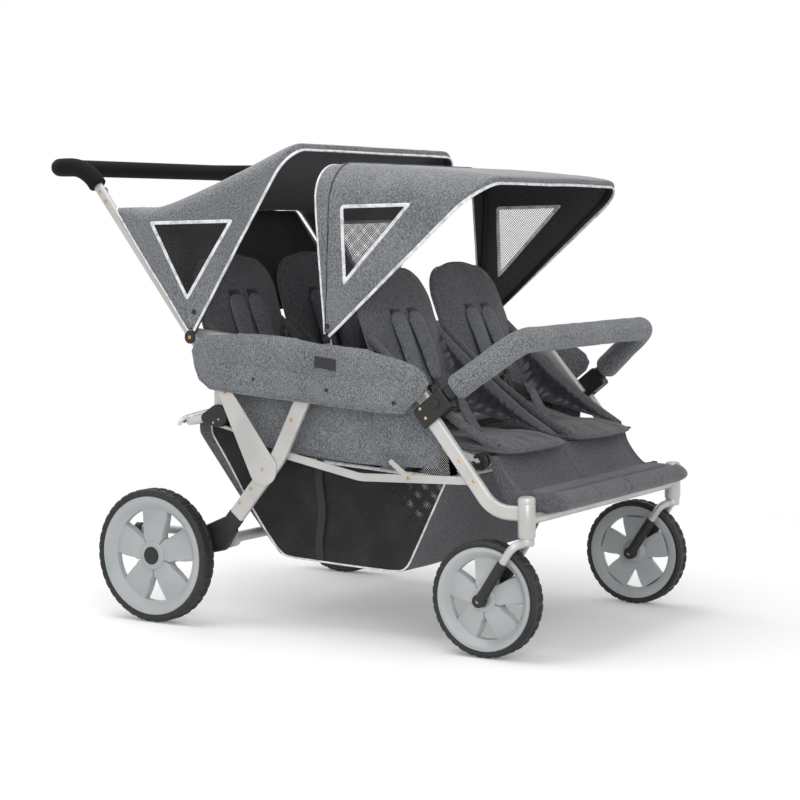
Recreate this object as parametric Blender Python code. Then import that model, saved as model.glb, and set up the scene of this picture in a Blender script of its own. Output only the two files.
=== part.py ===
"""A folding stroller with four seats in two rows of two, as separate pieces.

Metres, +Z up, the front faces -Y, and the floor is z = 0. While the pieces are made,
y = 0 is at the caster stems. The last step slides everything so that y = 0 is mid-length.
"""
import math

import bmesh
import bpy
from mathutils import Vector

# Clearances
GAP = 0.0003
PLAY = 0.0005

# Wheels
FRONT_WHEEL_RADIUS = 0.125
FRONT_TYRE_DEPTH = 0.014
REAR_WHEEL_RADIUS = 0.154
REAR_TYRE_DEPTH = 0.017
TYRE_WIDTH = 0.043
WHEEL_SEGMENTS = 26
SPOKES = 5
AXLE_RADIUS = 0.006
REAR_AXLE_Y = 0.945
REAR_HUB_OUT = 0.019

# Casters
CASTER_TRAIL = 0.093
HOUSING_RADIUS = 0.019
HOUSING_BOTTOM = 0.260
HOUSING_TOP = 0.342
HOUSING_DOME = 0.006
FORK_TUBE_RADIUS = 0.009
CROWN_RADIUS = 0.017
CROWN_HEIGHT = 0.016

# Seat widths, which set the width of the frame
SEAT_PAD_WIDTH = 0.288
SEAT_MARGIN = 0.026
BACKREST_WIDTH = SEAT_PAD_WIDTH + 0.032
SEAT_CENTRE_X = SEAT_MARGIN + SEAT_PAD_WIDTH / 2

# Frame layers, counted outward from the inner face of the seat rails
RAIL_INNER_X = SEAT_CENTRE_X + SEAT_PAD_WIDTH / 2 + SEAT_MARGIN
RAIL_THICKNESS = 0.016
STAY_THICKNESS = 0.004
LEG_THICKNESS = 0.016
FRONT_LEG_THICKNESS = 0.018
PLATE_THICKNESS = 0.004
BOW_THICKNESS = 0.003
BOW_WIDTH = 0.012
CANOPY_CLOTH = 0.002
FLAP_THICKNESS = 0.006
PANEL_THICKNESS = 0.006

RAIL_OUTER_X = RAIL_INNER_X + RAIL_THICKNESS
STAY_X = RAIL_OUTER_X + PLAY
LEG_X = STAY_X + STAY_THICKNESS + PLAY
LEG_OUTER_X = LEG_X + LEG_THICKNESS
PLATE_X = LEG_OUTER_X + PLAY
PLATE_OUTER_X = PLATE_X + PLATE_THICKNESS
REAR_CLOTH_X = PLATE_X + BOW_THICKNESS + PLAY
FLAP_X = max(PLATE_OUTER_X, REAR_CLOTH_X + CANOPY_CLOTH) + 3 * PLAY
PANEL_X = RAIL_INNER_X - GAP - PANEL_THICKNESS
REAR_TYRE_X = PLATE_OUTER_X + 4 * PLAY
CASTER_HALF_TRACK = LEG_X + FRONT_LEG_THICKNESS / 2 + 0.004

# Frame points in the side view (y, z)
HANDLE_PIVOT = (0.855, 0.660)
RAIL_BEND = (0.320, 0.603)
FRONT_PIVOT = (0.240, 0.512)
REAR_LEG_PIVOT_Y = 0.511
REAR_LEG_BEND = (0.625, 0.395)
REAR_LEG_FOOT = (0.757, 0.236)
AXLE_TUBE = (0.785, 0.195)
PLATE_LOW = (0.662, 0.366)
PLATE_HIGH = (0.763, 0.532)
STAY_REAR = (0.620, 0.400)
STAY_BEND = (0.418, 0.361)
STAY_FRONT = (0.130, 0.370)
CANOPY_PIVOT_LIFT = 0.034
HANDLE_BEND = (1.164, 1.046)
HANDLE_TOP_Y = 1.270
HANDLE_BEND_RADIUS = 0.10
GRIP_BELOW_BEND = 0.057
LEVER_BELOW_BEND = 0.071
FRONT_LEG_LEVEL = 0.310
FRONT_CROSS_TUBE_Z = 0.297
BUMPER_DIRECTION = math.radians(141.1)
BUMPER_REACH = 0.2468

# Frame sections
RAIL_WIDTH = 0.030
POST_WIDTH = 0.026
REAR_LEG_WIDTH = 0.039
FRONT_LEG_WIDTH = 0.032
HANDLE_WIDTH = 0.024
GRIP_RADIUS = 0.021
GRIP_BEND_RADIUS = 0.055
STAY_WIDTH = 0.018
PLATE_LOW_RADIUS = 0.037
PLATE_HIGH_RADIUS = 0.018
CROSS_TUBE_RADIUS = 0.0125
FRONT_CROSS_TUBE_RADIUS = 0.011
SEAT_ARM_RADIUS = 0.0085
BOSS_RADIUS = 0.011
BUMPER_TUBE_RADIUS = 0.010
BUMPER_FOAM_RADIUS = 0.0275
BUMPER_HALF_WIDTH = RAIL_INNER_X - 0.0245
BUMPER_BEND_RADIUS = 0.055
BUMPER_SOCKET = 0.072
BRACKET_BACK = -0.022
BRACKET_FRONT = 0.063
BRACKET_LOW = -0.029
BRACKET_HIGH = 0.020
BRACKET_SOLID = 0.020
BRACKET_CHEEK = 0.008
BUTTON_RADIUS = 0.0105
BUTTON_AT = 0.033
BUTTON_TRAVEL = 0.0025

# Seats
PAD_THICKNESS = 0.034
BACK_THICKNESS = 0.030
PAD_NOSE = 0.034
BACK_CORNER = 0.075
BACK_ARCH = 0.010
FRONT_HINGE = (0.350, 0.470)
FRONT_SEAT_TUBE = (0.135, 0.408)
FRONT_PAD_EDGE = 0.064
FRONT_BACK_LENGTH = 0.3725
FRONT_BACK_ANGLE = math.radians(69.5)
REAR_HINGE = (0.800, 0.478)
REAR_SEAT_TUBE = (0.545, 0.424)
REAR_PAD_EDGE = 0.500
REAR_BACK_LENGTH = 0.378
REAR_BACK_ANGLE = math.radians(73.5)
HARNESS_THICKNESS = 0.008

# Canopies
FRONT_CANOPY_BACK = (math.radians(86.0), 0.385)
FRONT_CANOPY_REAR_BOW = (math.radians(93.4), 0.385)
FRONT_CANOPY_FRONT_BOW = (math.radians(137.5), 0.514)
REAR_CANOPY_BOW = (math.radians(121.3), 0.490)
REAR_CANOPY_BACK = (math.radians(53.5), 0.361)
CANOPY_CORNER = 0.085
REAR_CANOPY_CORNER = 0.064
CANOPY_TIP = 0.016

# Soft goods
BASKET_HALF_WIDTH = RAIL_INNER_X - 0.040
BASKET_CLOTH = 0.004
HOOP_REACH = 0.105
HOOP_DROP = 0.020
HOOP_DISC_RADIUS = 0.026
HOOP_TUBE_RADIUS = 0.010
APRON_HALF_WIDTH = RAIL_INNER_X - 0.022
APRON_CLOTH = 0.012
ROLL_FRONT = -0.066

# Levers
BRAKE_X = LEG_X - 0.031
BRAKE_LEVER_END = (1.056, 0.200)
BRAKE_TUBE_RADIUS = 0.010
BRAKE_CAP_RADIUS = 0.013

SIDES = {"left": 1, "right": -1}


def clear_scene():
    for obj in list(bpy.data.objects):
        bpy.data.objects.remove(obj, do_unlink=True)


def material(name, colour, roughness, metallic=0.0):
    made = bpy.data.materials.new(name)
    made.use_nodes = True
    shader = made.node_tree.nodes["Principled BSDF"]
    shader.inputs["Base Color"].default_value = (*colour, 1.0)
    shader.inputs["Roughness"].default_value = roughness
    shader.inputs["Metallic"].default_value = metallic
    return made


# Outlines in a plane


def circle(centre, radius, count=16, start=0.0):
    """Points of a circle round a centre."""
    turns = [start + 2 * math.pi * i / count for i in range(count)]
    return [(centre[0] + radius * math.cos(t), centre[1] + radius * math.sin(t)) for t in turns]


def flat_oval(across, up, count=8):
    """A stadium outline whose flats are exactly the two sizes apart."""
    radius = min(across, up) / 2 / math.cos(math.pi / count)
    reach = (max(across, up) - min(across, up)) / 2
    points = []
    for i in range(count):
        turn = 2 * math.pi * (i + 0.5) / count
        a, b = radius * math.cos(turn), radius * math.sin(turn)
        if across < up:
            points.append((a, b + math.copysign(reach, b)))
        else:
            points.append((a + math.copysign(reach, a), b))
    return points


def rectangle(across, up):
    return [(across / 2, up / 2), (-across / 2, up / 2), (-across / 2, -up / 2), (across / 2, -up / 2)]


def hull(points):
    """The convex outline round some points, by a monotone chain."""
    ordered = sorted(set(points))

    def chain(items):
        kept = []
        for p in items:
            while len(kept) > 1:
                (ax, ay), (bx, by) = kept[-2], kept[-1]
                if (bx - ax) * (p[1] - ay) - (by - ay) * (p[0] - ax) > 1e-12:
                    break
                kept.pop()
            kept.append(p)
        return kept[:-1]

    return chain(ordered) + chain(reversed(ordered))


def link(start, end, radius_start, radius_end, count=16):
    """The outline of a bar with round ends of two radii."""
    return hull(circle(start, radius_start, count) + circle(end, radius_end, count))


def shifted(point, angle, distance):
    return (point[0] + distance * math.cos(angle), point[1] + distance * math.sin(angle))


def heading(start, end):
    return math.atan2(end[1] - start[1], end[0] - start[0])


def rail_z(y):
    """Height of the rail's centreline behind its bend."""
    (y0, z0), (y1, z1) = RAIL_BEND, HANDLE_PIVOT
    return z0 + (z1 - z0) * (y - y0) / (y1 - y0)


REAR_LEG_PIVOT = (REAR_LEG_PIVOT_Y, rail_z(REAR_LEG_PIVOT_Y))
CANOPY_PIVOT = (REAR_LEG_PIVOT_Y, rail_z(REAR_LEG_PIVOT_Y) + CANOPY_PIVOT_LIFT)
REAR_AXLE = (REAR_AXLE_Y, REAR_WHEEL_RADIUS)
FRONT_AXLE = (CASTER_TRAIL, FRONT_WHEEL_RADIUS)
HANDLE_FOOT = shifted(PLATE_HIGH, heading(HANDLE_PIVOT, PLATE_HIGH), HANDLE_WIDTH / 2)
HANDLE_TOP = (HANDLE_TOP_Y, HANDLE_BEND[1])


# Solids


def slab(outline, low, high, to_world=lambda u, v, w: (w, u, v)):
    """An outline pushed from low to high; by default it lies in the side view."""
    mesh = bmesh.new()
    near = [mesh.verts.new(to_world(u, v, low)) for u, v in outline]
    far = [mesh.verts.new(to_world(u, v, high)) for u, v in outline]
    mesh.faces.new(near)
    mesh.faces.new(far)
    for i in range(len(outline)):
        j = (i + 1) % len(outline)
        mesh.faces.new((near[i], near[j], far[j], far[i]))
    return mesh


def side_slab(outline, side, low, high):
    """A slab on one side of the stroller, between two distances from the middle."""
    return slab(outline, side * low, side * high)


def rounded(points, radius, steps=5):
    """The path through some points, with its inner corners rounded."""
    points = [Vector(p) for p in points]
    path = [points[0]]
    for before, corner, after in zip(points, points[1:], points[2:]):
        back, ahead = before - corner, after - corner
        half = back.angle(ahead) / 2
        tangent = min(radius / math.tan(half), 0.48 * min(back.length, ahead.length))
        back.normalize()
        ahead.normalize()
        arc_radius = tangent * math.tan(half)
        centre = corner + (back + ahead).normalized() * (tangent / math.cos(half))
        start = corner + back * tangent - centre
        end = corner + ahead * tangent - centre
        sweep_angle = start.angle(end)
        for i in range(steps + 1):
            share = i / steps
            a = math.sin((1 - share) * sweep_angle) / math.sin(sweep_angle)
            b = math.sin(share * sweep_angle) / math.sin(sweep_angle)
            path.append(centre + (start * a + end * b).normalized() * arc_radius)
    path.append(points[-1])
    return path


def rings(mesh, path, section, across):
    """One ring of vertices for each point of a path; the section turns with the path."""
    legs = [(b - a).normalized() for a, b in zip(path, path[1:])]
    tangents = [legs[0]] + [(a + b).normalized() for a, b in zip(legs, legs[1:])] + [legs[-1]]
    side = Vector(across)
    side = (side - tangents[0] * side.dot(tangents[0])).normalized()
    made = []
    for i, (point, tangent) in enumerate(zip(path, tangents)):
        if i:
            side = tangents[i - 1].rotation_difference(tangent) @ side
        up = tangent.cross(side)
        made.append([mesh.verts.new(point + side * a + up * b) for a, b in section])
    return made


def bridge(mesh, first, second):
    count = len(first)
    for i in range(count):
        j = (i + 1) % count
        mesh.faces.new((first[i], first[j], second[j], second[i]))


def tube(path, section, across=(1, 0, 0)):
    """A solid bar along a path."""
    mesh = bmesh.new()
    made = rings(mesh, [Vector(p) for p in path], section, across)
    for first, second in zip(made, made[1:]):
        bridge(mesh, first, second)
    mesh.faces.new(made[0])
    mesh.faces.new(made[-1])
    return mesh


def sleeve(path, outer, inner, across=(1, 0, 0)):
    """A hollow bar along a path, open at both ends."""
    mesh = bmesh.new()
    path = [Vector(p) for p in path]
    skins = [rings(mesh, path, section, across) for section in (outer, inner)]
    for skin in skins:
        for first, second in zip(skin, skin[1:]):
            bridge(mesh, first, second)
    for end in (0, -1):
        bridge(mesh, skins[0][end], skins[1][end])
    return mesh


def rod(start, end, radius, count=12):
    along = Vector(end) - Vector(start)
    across = (1, 0, 0) if abs(along.x) < 0.5 * along.length else (0, 1, 0)
    return tube([start, end], circle((0, 0), radius, count, math.pi / count), across)


def turned(profile, centre, side=1, segments=WHEEL_SEGMENTS):
    """A profile of (distance outward, radius) turned about a line along X."""
    mesh = bmesh.new()
    turns = [2 * math.pi * (i + 0.5) / segments - math.pi / 2 for i in range(segments)]
    made = []
    for a, radius in profile:
        x = centre[0] + side * a
        if radius == 0:
            made.append([mesh.verts.new((x, centre[1], centre[2]))])
        else:
            made.append([
                mesh.verts.new((x, centre[1] + radius * math.cos(t), centre[2] + radius * math.sin(t)))
                for t in turns
            ])
    pairs = list(zip(made, made[1:]))
    if profile[0][1]:
        pairs.append((made[-1], made[0]))
    for first, second in pairs:
        if len(first) == len(second) == 1:
            continue
        if len(first) == 1:
            first, second = second, first
        for i in range(segments):
            j = (i + 1) % segments
            if len(second) == 1:
                mesh.faces.new((first[i], first[j], second[0]))
            else:
                mesh.faces.new((first[i], first[j], second[j], second[i]))
    return mesh


def node(name, mesh, look, origin=(0, 0, 0)):
    """A named object from a mesh in world places, with its own origin."""
    bmesh.ops.recalc_face_normals(mesh, faces=mesh.faces)
    bmesh.ops.translate(mesh, verts=mesh.verts, vec=-Vector(origin))
    data = bpy.data.meshes.new(name)
    mesh.to_mesh(data)
    mesh.free()
    data.materials.append(look)
    made = bpy.data.objects.new(name, data)
    made.location = origin
    bpy.context.collection.objects.link(made)
    return made


def tool(name, mesh):
    """A hidden solid that only joins or cuts another."""
    made = node(name, mesh, LOOKS["frame"])
    made.hide_render = True
    made.display_type = "WIRE"
    return made


def boolean(base, mesh, operation):
    """Joins a mesh to an object or cuts it out of it."""
    modifier = base.modifiers.new(operation.title(), "BOOLEAN")
    modifier.operation = operation
    modifier.solver = "EXACT"
    modifier.object = tool(f"{base.name}_{operation.lower()}_{len(base.modifiers)}", mesh)


def join(base, *meshes):
    for mesh in meshes:
        boolean(base, mesh, "UNION")
    return base


def cut(base, *meshes):
    for mesh in meshes:
        boolean(base, mesh, "DIFFERENCE")
    return base


def at(point, x=0.0):
    """A side-view point as a place in space."""
    return (x, point[0], point[1])


# Wheels


def tyre_profile(rim_radius, wheel_radius):
    """A tyre with a flat tread and round shoulders, wide enough to hide the rim's edge."""
    half = TYRE_WIDTH / 2
    depth = wheel_radius - rim_radius
    tread = wheel_radius / math.cos(math.pi / WHEEL_SEGMENTS)
    return [
        (-0.88 * half, rim_radius + GAP),
        (-half, rim_radius + 0.5 * depth),
        (-0.66 * half, tread),
        (0.66 * half, tread),
        (half, rim_radius + 0.5 * depth),
        (0.88 * half, rim_radius + GAP),
    ]


def rim_profile(rim_radius, hub_in, hub_out, blind):
    """A dished rim: hub, web and barrel. A blind hub is closed by its cap on the outside."""
    half = 0.80 * TYRE_WIDTH / 2
    bore = AXLE_RADIUS + PLAY
    ring = 0.28 * rim_radius
    body = [
        (-hub_in, 0.75 * ring),
        (-0.004, ring),
        (-0.004, rim_radius - 0.022),
        (-half, rim_radius - 0.009),
        (-half, rim_radius),
        (half, rim_radius),
        (half, rim_radius - 0.009),
        (0.007, rim_radius - 0.020),
        (0.007, ring),
        (hub_out, 0.85 * ring),
    ]
    if blind:
        return [(hub_out - 0.006, 0), (hub_out - 0.006, bore), (-hub_in, bore)] + body + [(hub_out, 0)]
    return [(hub_out, bore), (-hub_in, bore)] + body


def window_cutter(rim_radius, centre):
    """The five openings between the fan-shaped spokes; one spoke points straight up."""
    mesh = bmesh.new()
    inner, outer = 0.42 * rim_radius, 0.80 * rim_radius
    for i in range(SPOKES):
        middle = 2 * math.pi * i / SPOKES - math.pi / 2
        corners = [(inner, -0.16), (outer, -0.27), (outer + 0.003, 0), (outer, 0.27), (inner, 0.16)]
        outline = [shifted((centre[1], centre[2]), middle + turn, r) for r, turn in corners]
        piece = slab(outline, centre[0] - TYRE_WIDTH, centre[0] + TYRE_WIDTH)
        data = bpy.data.meshes.new("window")
        piece.to_mesh(data)
        piece.free()
        mesh.from_mesh(data)
        bpy.data.meshes.remove(data)
    return mesh


def make_wheel(prefix, side_name, centre, wheel_radius, tyre_depth, hub_in, hub_out, blind):
    side = SIDES[side_name]
    rim_radius = wheel_radius - tyre_depth
    tyre = turned(tyre_profile(rim_radius, wheel_radius), centre, side)
    node(f"{prefix}_tyre_{side_name}", tyre, LOOKS["tyre"], centre)
    rim = turned(rim_profile(rim_radius, hub_in, hub_out, blind), centre, side)
    made = node(f"{prefix}_rim_{side_name}", rim, LOOKS["rim"], centre)
    cut(made, window_cutter(rim_radius, centre))


# Frame


def make_rail(side_name):
    """A seat rail with the posts that carry the seat frames and the ear of the front canopy."""
    side = SIDES[side_name]
    x = side * (RAIL_INNER_X + RAIL_THICKNESS / 2)
    end = shifted(HANDLE_PIVOT, heading(RAIL_BEND, HANDLE_PIVOT), RAIL_WIDTH / 2)
    nose = shifted(FRONT_PIVOT, heading(RAIL_BEND, FRONT_PIVOT), RAIL_WIDTH / 2)
    path = rounded([at(end, x), at(RAIL_BEND, x), at(nose, x)], 0.05)
    rail = node(f"rail_{side_name}", tube(path, flat_oval(RAIL_THICKNESS, RAIL_WIDTH)), LOOKS["frame"])
    for hinge in (FRONT_HINGE, REAR_HINGE):
        top = (hinge[0], rail_z(hinge[0]))
        foot = link(top, hinge, POST_WIDTH / 2, POST_WIDTH / 2)
        join(rail, side_slab(foot, side, RAIL_INNER_X + GAP, RAIL_OUTER_X - 2 * PLAY))
    ear = link(REAR_LEG_PIVOT, CANOPY_PIVOT, 0.014, 0.009)
    join(rail, side_slab(ear, side, RAIL_INNER_X + GAP, RAIL_INNER_X + BOW_THICKNESS + PLAY))


def make_rear_leg(side_name):
    side = SIDES[side_name]
    x = side * (LEG_X + LEG_THICKNESS / 2)
    top = shifted(REAR_LEG_PIVOT, heading(REAR_LEG_BEND, REAR_LEG_PIVOT), 0.012)
    path = rounded([at(top, x), at(REAR_LEG_BEND, x), at(REAR_LEG_FOOT, x)], 0.16)
    leg = tube(path, flat_oval(LEG_THICKNESS, REAR_LEG_WIDTH))
    made = node(f"rear_leg_{side_name}", leg, LOOKS["frame"], at(REAR_LEG_PIVOT))
    boss = circle(REAR_LEG_PIVOT, BOSS_RADIUS, 12)
    join(made, side_slab(boss, side, RAIL_OUTER_X + PLAY, LEG_X + 0.004))


def make_axle_arm(side_name):
    """The black foot of a rear leg, with the arm back to the wheel and its axle."""
    side = SIDES[side_name]
    run = heading(REAR_LEG_BEND, REAR_LEG_FOOT)
    start = shifted(REAR_LEG_FOOT, run, GAP)
    upper = shifted(start, run + math.pi / 2, REAR_LEG_WIDTH / 2 + 0.003)
    lower = shifted(start, run - math.pi / 2, REAR_LEG_WIDTH / 2 + 0.003)
    heel = shifted(lower, run, 0.056)
    outline = hull([upper, lower, heel] + circle(AXLE_TUBE, 0.024) + circle(REAR_AXLE, 0.020))
    arm = node(
        f"axle_arm_{side_name}",
        side_slab(outline, side, LEG_X, LEG_OUTER_X),
        LOOKS["plastic"],
        at(REAR_LEG_PIVOT),
    )
    reach = REAR_TYRE_X + TYRE_WIDTH / 2 + REAR_HUB_OUT - 0.008
    join(arm, side_slab(circle(REAR_AXLE, AXLE_RADIUS, 12), side, LEG_X + 0.004, reach))


def make_lock_plate(side_name):
    side = SIDES[side_name]
    outline = link(PLATE_LOW, PLATE_HIGH, PLATE_LOW_RADIUS, PLATE_HIGH_RADIUS, 24)
    plate = side_slab(outline, side, PLATE_X, PLATE_OUTER_X)
    node(f"lock_plate_{side_name}", plate, LOOKS["frame"], at(PLATE_LOW))


def make_side_stay(side_name):
    """A flat bar between the rear leg and the front leg, bent once."""
    side = SIDES[side_name]
    x = side * (STAY_X + STAY_THICKNESS / 2)
    back = shifted(STAY_REAR, heading(STAY_BEND, STAY_REAR), STAY_WIDTH / 2)
    front = shifted(STAY_FRONT, heading(STAY_BEND, STAY_FRONT), STAY_WIDTH / 2)
    path = rounded([at(back, x), at(STAY_BEND, x), at(front, x)], 0.12)
    bar = tube(path, rectangle(STAY_THICKNESS, STAY_WIDTH))
    node(f"side_stay_{side_name}", bar, LOOKS["frame"], at(STAY_REAR))


def make_front_leg(side_name):
    """A front leg that curves level into the upright housing of its caster."""
    side = SIDES[side_name]
    x = side * (LEG_X + FRONT_LEG_THICKNESS / 2)
    drop = (FRONT_PIVOT[1] - FRONT_LEG_LEVEL) / math.tan(math.radians(51.5))
    corner = (FRONT_PIVOT[0] - drop, FRONT_LEG_LEVEL)
    path = rounded([at(FRONT_PIVOT, x), at(corner, x), (x, 0, FRONT_LEG_LEVEL)], 0.09)
    leg = tube(path, flat_oval(FRONT_LEG_THICKNESS, FRONT_LEG_WIDTH))
    made = node(f"front_leg_{side_name}", leg, LOOKS["frame"], at(FRONT_PIVOT))
    top = circle(FRONT_PIVOT, FRONT_LEG_WIDTH / 2)
    join(made, side_slab(top, side, LEG_X + 0.001, LEG_X + FRONT_LEG_THICKNESS - 0.001))
    mesh = bmesh.new()
    centre = (side * CASTER_HALF_TRACK, 0)
    outline = circle((0, 0), 1, 20)
    levels = [(HOUSING_BOTTOM, 1), (HOUSING_TOP, 1), (HOUSING_TOP + HOUSING_DOME, 0.6)]
    made_rings = []
    for z, share in levels:
        r = HOUSING_RADIUS * share
        made_rings.append([mesh.verts.new((centre[0] + r * a, centre[1] + r * b, z)) for a, b in outline])
    for first, second in zip(made_rings, made_rings[1:]):
        bridge(mesh, first, second)
    mesh.faces.new(made_rings[0])
    mesh.faces.new(made_rings[-1])
    join(made, mesh)


def make_front_cross_tube():
    reach = CASTER_HALF_TRACK - HOUSING_RADIUS - GAP
    spot = (0, FRONT_CROSS_TUBE_Z)
    bar = rod(at(spot, -reach), at(spot, reach), FRONT_CROSS_TUBE_RADIUS)
    node("front_cross_tube", bar, LOOKS["frame"], at(FRONT_PIVOT))


def make_rear_axle_tube():
    reach = LEG_X - GAP
    bar = rod(at(AXLE_TUBE, -reach), at(AXLE_TUBE, reach), CROSS_TUBE_RADIUS)
    node("rear_axle_tube", bar, LOOKS["frame"], at(REAR_LEG_PIVOT))


def make_brake_lever():
    """A foot lever that turns on the axle tube, with a round cap at its end."""
    x = -BRAKE_X
    hold = CROSS_TUBE_RADIUS + PLAY
    ring = [(-0.011, hold), (0.011, hold), (0.011, hold + 0.008), (-0.011, hold + 0.008)]
    made = node("brake_lever", turned(ring, at(AXLE_TUBE, x), 1, 20), LOOKS["frame"], at(AXLE_TUBE))
    away = heading(AXLE_TUBE, BRAKE_LEVER_END)
    start = shifted(AXLE_TUBE, away + math.radians(35), hold + 0.005)
    join(made, rod(at(start, x), at(BRAKE_LEVER_END, x), BRAKE_TUBE_RADIUS))
    cap = shifted(BRAKE_LEVER_END, heading(start, BRAKE_LEVER_END), -0.022)
    tip = shifted(BRAKE_LEVER_END, heading(start, BRAKE_LEVER_END), 0.004)
    join(made, rod(at(cap, x), at(tip, x), BRAKE_CAP_RADIUS))


def make_fork(side_name):
    """A two-legged caster fork with its crown and the wheel's axle."""
    x = SIDES[side_name] * CASTER_HALF_TRACK
    spread = TYRE_WIDTH / 2 + FORK_TUBE_RADIUS + 0.003
    knee = (0.016, HOUSING_BOTTOM - 0.0155)
    crown_z = HOUSING_BOTTOM - GAP - CROWN_HEIGHT / 2
    route = [
        at(FRONT_AXLE, x - spread),
        at(knee, x - spread),
        (x, -0.002, crown_z),
        at(knee, x + spread),
        at(FRONT_AXLE, x + spread),
    ]
    path = rounded(route, 0.020, 4)
    section = circle((0, 0), FORK_TUBE_RADIUS, 8)
    fork = node(f"caster_fork_{side_name}", tube(path, section), LOOKS["frame"], (x, 0, crown_z))
    low, high = HOUSING_BOTTOM - GAP - CROWN_HEIGHT, HOUSING_BOTTOM - GAP
    join(fork, rod((x, 0, low), (x, 0, high), CROWN_RADIUS, 16))
    join(fork, slab(circle(FRONT_AXLE, AXLE_RADIUS, 12), x - spread, x + spread))
    for sign in (-1, 1):
        inner = TYRE_WIDTH / 2 + 0.002
        ends = sorted((x + sign * inner, x + sign * (spread + FORK_TUBE_RADIUS + 0.001)))
        join(fork, slab(circle(FRONT_AXLE, 0.0135, 14), *ends))


# Handle and bumper


def handle_path():
    """The line of the push handle, from low on one tube over the top to the other tube."""
    x = LEG_X + LEG_THICKNESS / 2
    knee = rounded([at(HANDLE_FOOT, x), at(HANDLE_BEND, x), at(HANDLE_TOP, x)], HANDLE_BEND_RADIUS)[:-1]
    corners = [at(HANDLE_BEND, x), at(HANDLE_TOP, x), at(HANDLE_TOP, -x), at(HANDLE_BEND, -x)]
    top = rounded(corners, GRIP_BEND_RADIUS)[1:-1]
    return knee + top + [mirrored(p) for p in reversed(knee)]


def below_bend(distance):
    """A side-view point on the straight part of the handle tube, below its bend."""
    return shifted(HANDLE_BEND, heading(HANDLE_BEND, HANDLE_FOOT), distance)


def mirrored(point):
    return Vector((-point[0], point[1], point[2]))


def make_handle():
    section = flat_oval(LEG_THICKNESS, HANDLE_WIDTH)
    path = handle_path()
    made = node("handle_tube", tube(path, section), LOOKS["frame"], at(HANDLE_PIVOT))
    boss = circle(HANDLE_PIVOT, BOSS_RADIUS, 12)
    for side in (1, -1):
        join(made, side_slab(boss, side, RAIL_OUTER_X + PLAY, LEG_X + 0.004))
    start = Vector(at(below_bend(GRIP_BELOW_BEND), LEG_X + LEG_THICKNESS / 2))
    path = [start] + path[1:-1] + [mirrored(start)]
    inner = flat_oval(LEG_THICKNESS + 2 * GAP, HANDLE_WIDTH + 2 * GAP)
    outer = circle((0, 0), GRIP_RADIUS, 8, math.pi / 8)
    node("handle_grip", sleeve(path, outer, inner), LOOKS["foam"], at(HANDLE_PIVOT))


def fold_lever_pivot():
    return below_bend(LEVER_BELOW_BEND)


def make_fold_lever():
    """A small hooked trigger on the inner face of the right handle tube."""
    pivot = fold_lever_pivot()
    down = heading(HANDLE_BEND, HANDLE_FOOT) + math.radians(15)
    outline = link(pivot, shifted(pivot, down, 0.030), 0.009, 0.006, 12)
    lever = side_slab(outline, -1, LEG_X - PLAY - 0.006, LEG_X - PLAY)
    node("fold_lever", lever, LOOKS["plastic"], at(pivot))


def bumper_point(x, along):
    return at(shifted(FRONT_PIVOT, BUMPER_DIRECTION, along), x)


def make_bumper():
    """The bar in front of the children, with plain ends for the brackets and a foam cover."""
    x = LEG_X + FRONT_LEG_THICKNESS / 2
    start = Vector(bumper_point(x, BRACKET_SOLID + 2 * PLAY))
    neck = Vector(bumper_point(x, BUMPER_SOCKET))
    corner = Vector(bumper_point(BUMPER_HALF_WIDTH, BUMPER_REACH))
    half = [start, neck, corner]
    bar = tube(
        rounded(half + [mirrored(p) for p in reversed(half)], BUMPER_BEND_RADIUS),
        circle((0, 0), BUMPER_TUBE_RADIUS, 10),
    )
    node("bumper_bar", bar, LOOKS["plastic"], at(FRONT_PIVOT))
    begin = neck.lerp(corner, 0.05)
    foam = sleeve(
        rounded([begin, corner, mirrored(corner), mirrored(begin)], BUMPER_BEND_RADIUS),
        circle((0, 0), BUMPER_FOAM_RADIUS, 10),
        circle((0, 0), BUMPER_TUBE_RADIUS + GAP, 10),
    )
    node("bumper_foam", foam, LOOKS["cloth"], at(FRONT_PIVOT))


def make_front_bracket(side_name):
    """The black bracket over the front pivot: a slot for the leg, a socket for the bumper."""
    side = SIDES[side_name]
    leg_outer = LEG_X + FRONT_LEG_THICKNESS
    face = leg_outer + PLAY + BRACKET_CHEEK

    def corner(along, up):
        return shifted(shifted(FRONT_PIVOT, BUMPER_DIRECTION, along), BUMPER_DIRECTION - math.pi / 2, up)

    box = [(BRACKET_BACK, BRACKET_LOW), (BRACKET_FRONT, BRACKET_LOW)]
    box += [(BRACKET_FRONT, BRACKET_HIGH), (BRACKET_BACK, BRACKET_HIGH)]
    body = side_slab([corner(*c) for c in box], side, RAIL_OUTER_X + PLAY, face)
    made = node(f"front_bracket_{side_name}", body, LOOKS["plastic"])
    room = [(-0.2, -0.2), (BRACKET_SOLID, -0.2), (BRACKET_SOLID, 0.2), (-0.2, 0.2)]
    cut(made, side_slab([corner(*c) for c in room], side, LEG_X - PLAY, leg_outer + PLAY))
    middle = side * (LEG_X + FRONT_LEG_THICKNESS / 2)
    bore = rod(
        bumper_point(middle, BRACKET_SOLID + PLAY),
        bumper_point(middle, BRACKET_FRONT + 0.02),
        BUMPER_TUBE_RADIUS + GAP + PLAY,
        16,
    )
    cut(made, bore)
    button = shifted(FRONT_PIVOT, BUMPER_DIRECTION, BUTTON_AT)
    floor = face - BUTTON_TRAVEL - 3 * PLAY
    pocket = circle(button, BUTTON_RADIUS + GAP, 18)
    cut(made, side_slab(pocket, side, floor, face + 0.01))
    knob = side_slab(circle(button, BUTTON_RADIUS, 18), side, floor + BUTTON_TRAVEL + PLAY, face + 0.003)
    node(f"bumper_button_{side_name}", knob, LOOKS["plastic"], at(button, side * face))


# Seats


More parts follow.
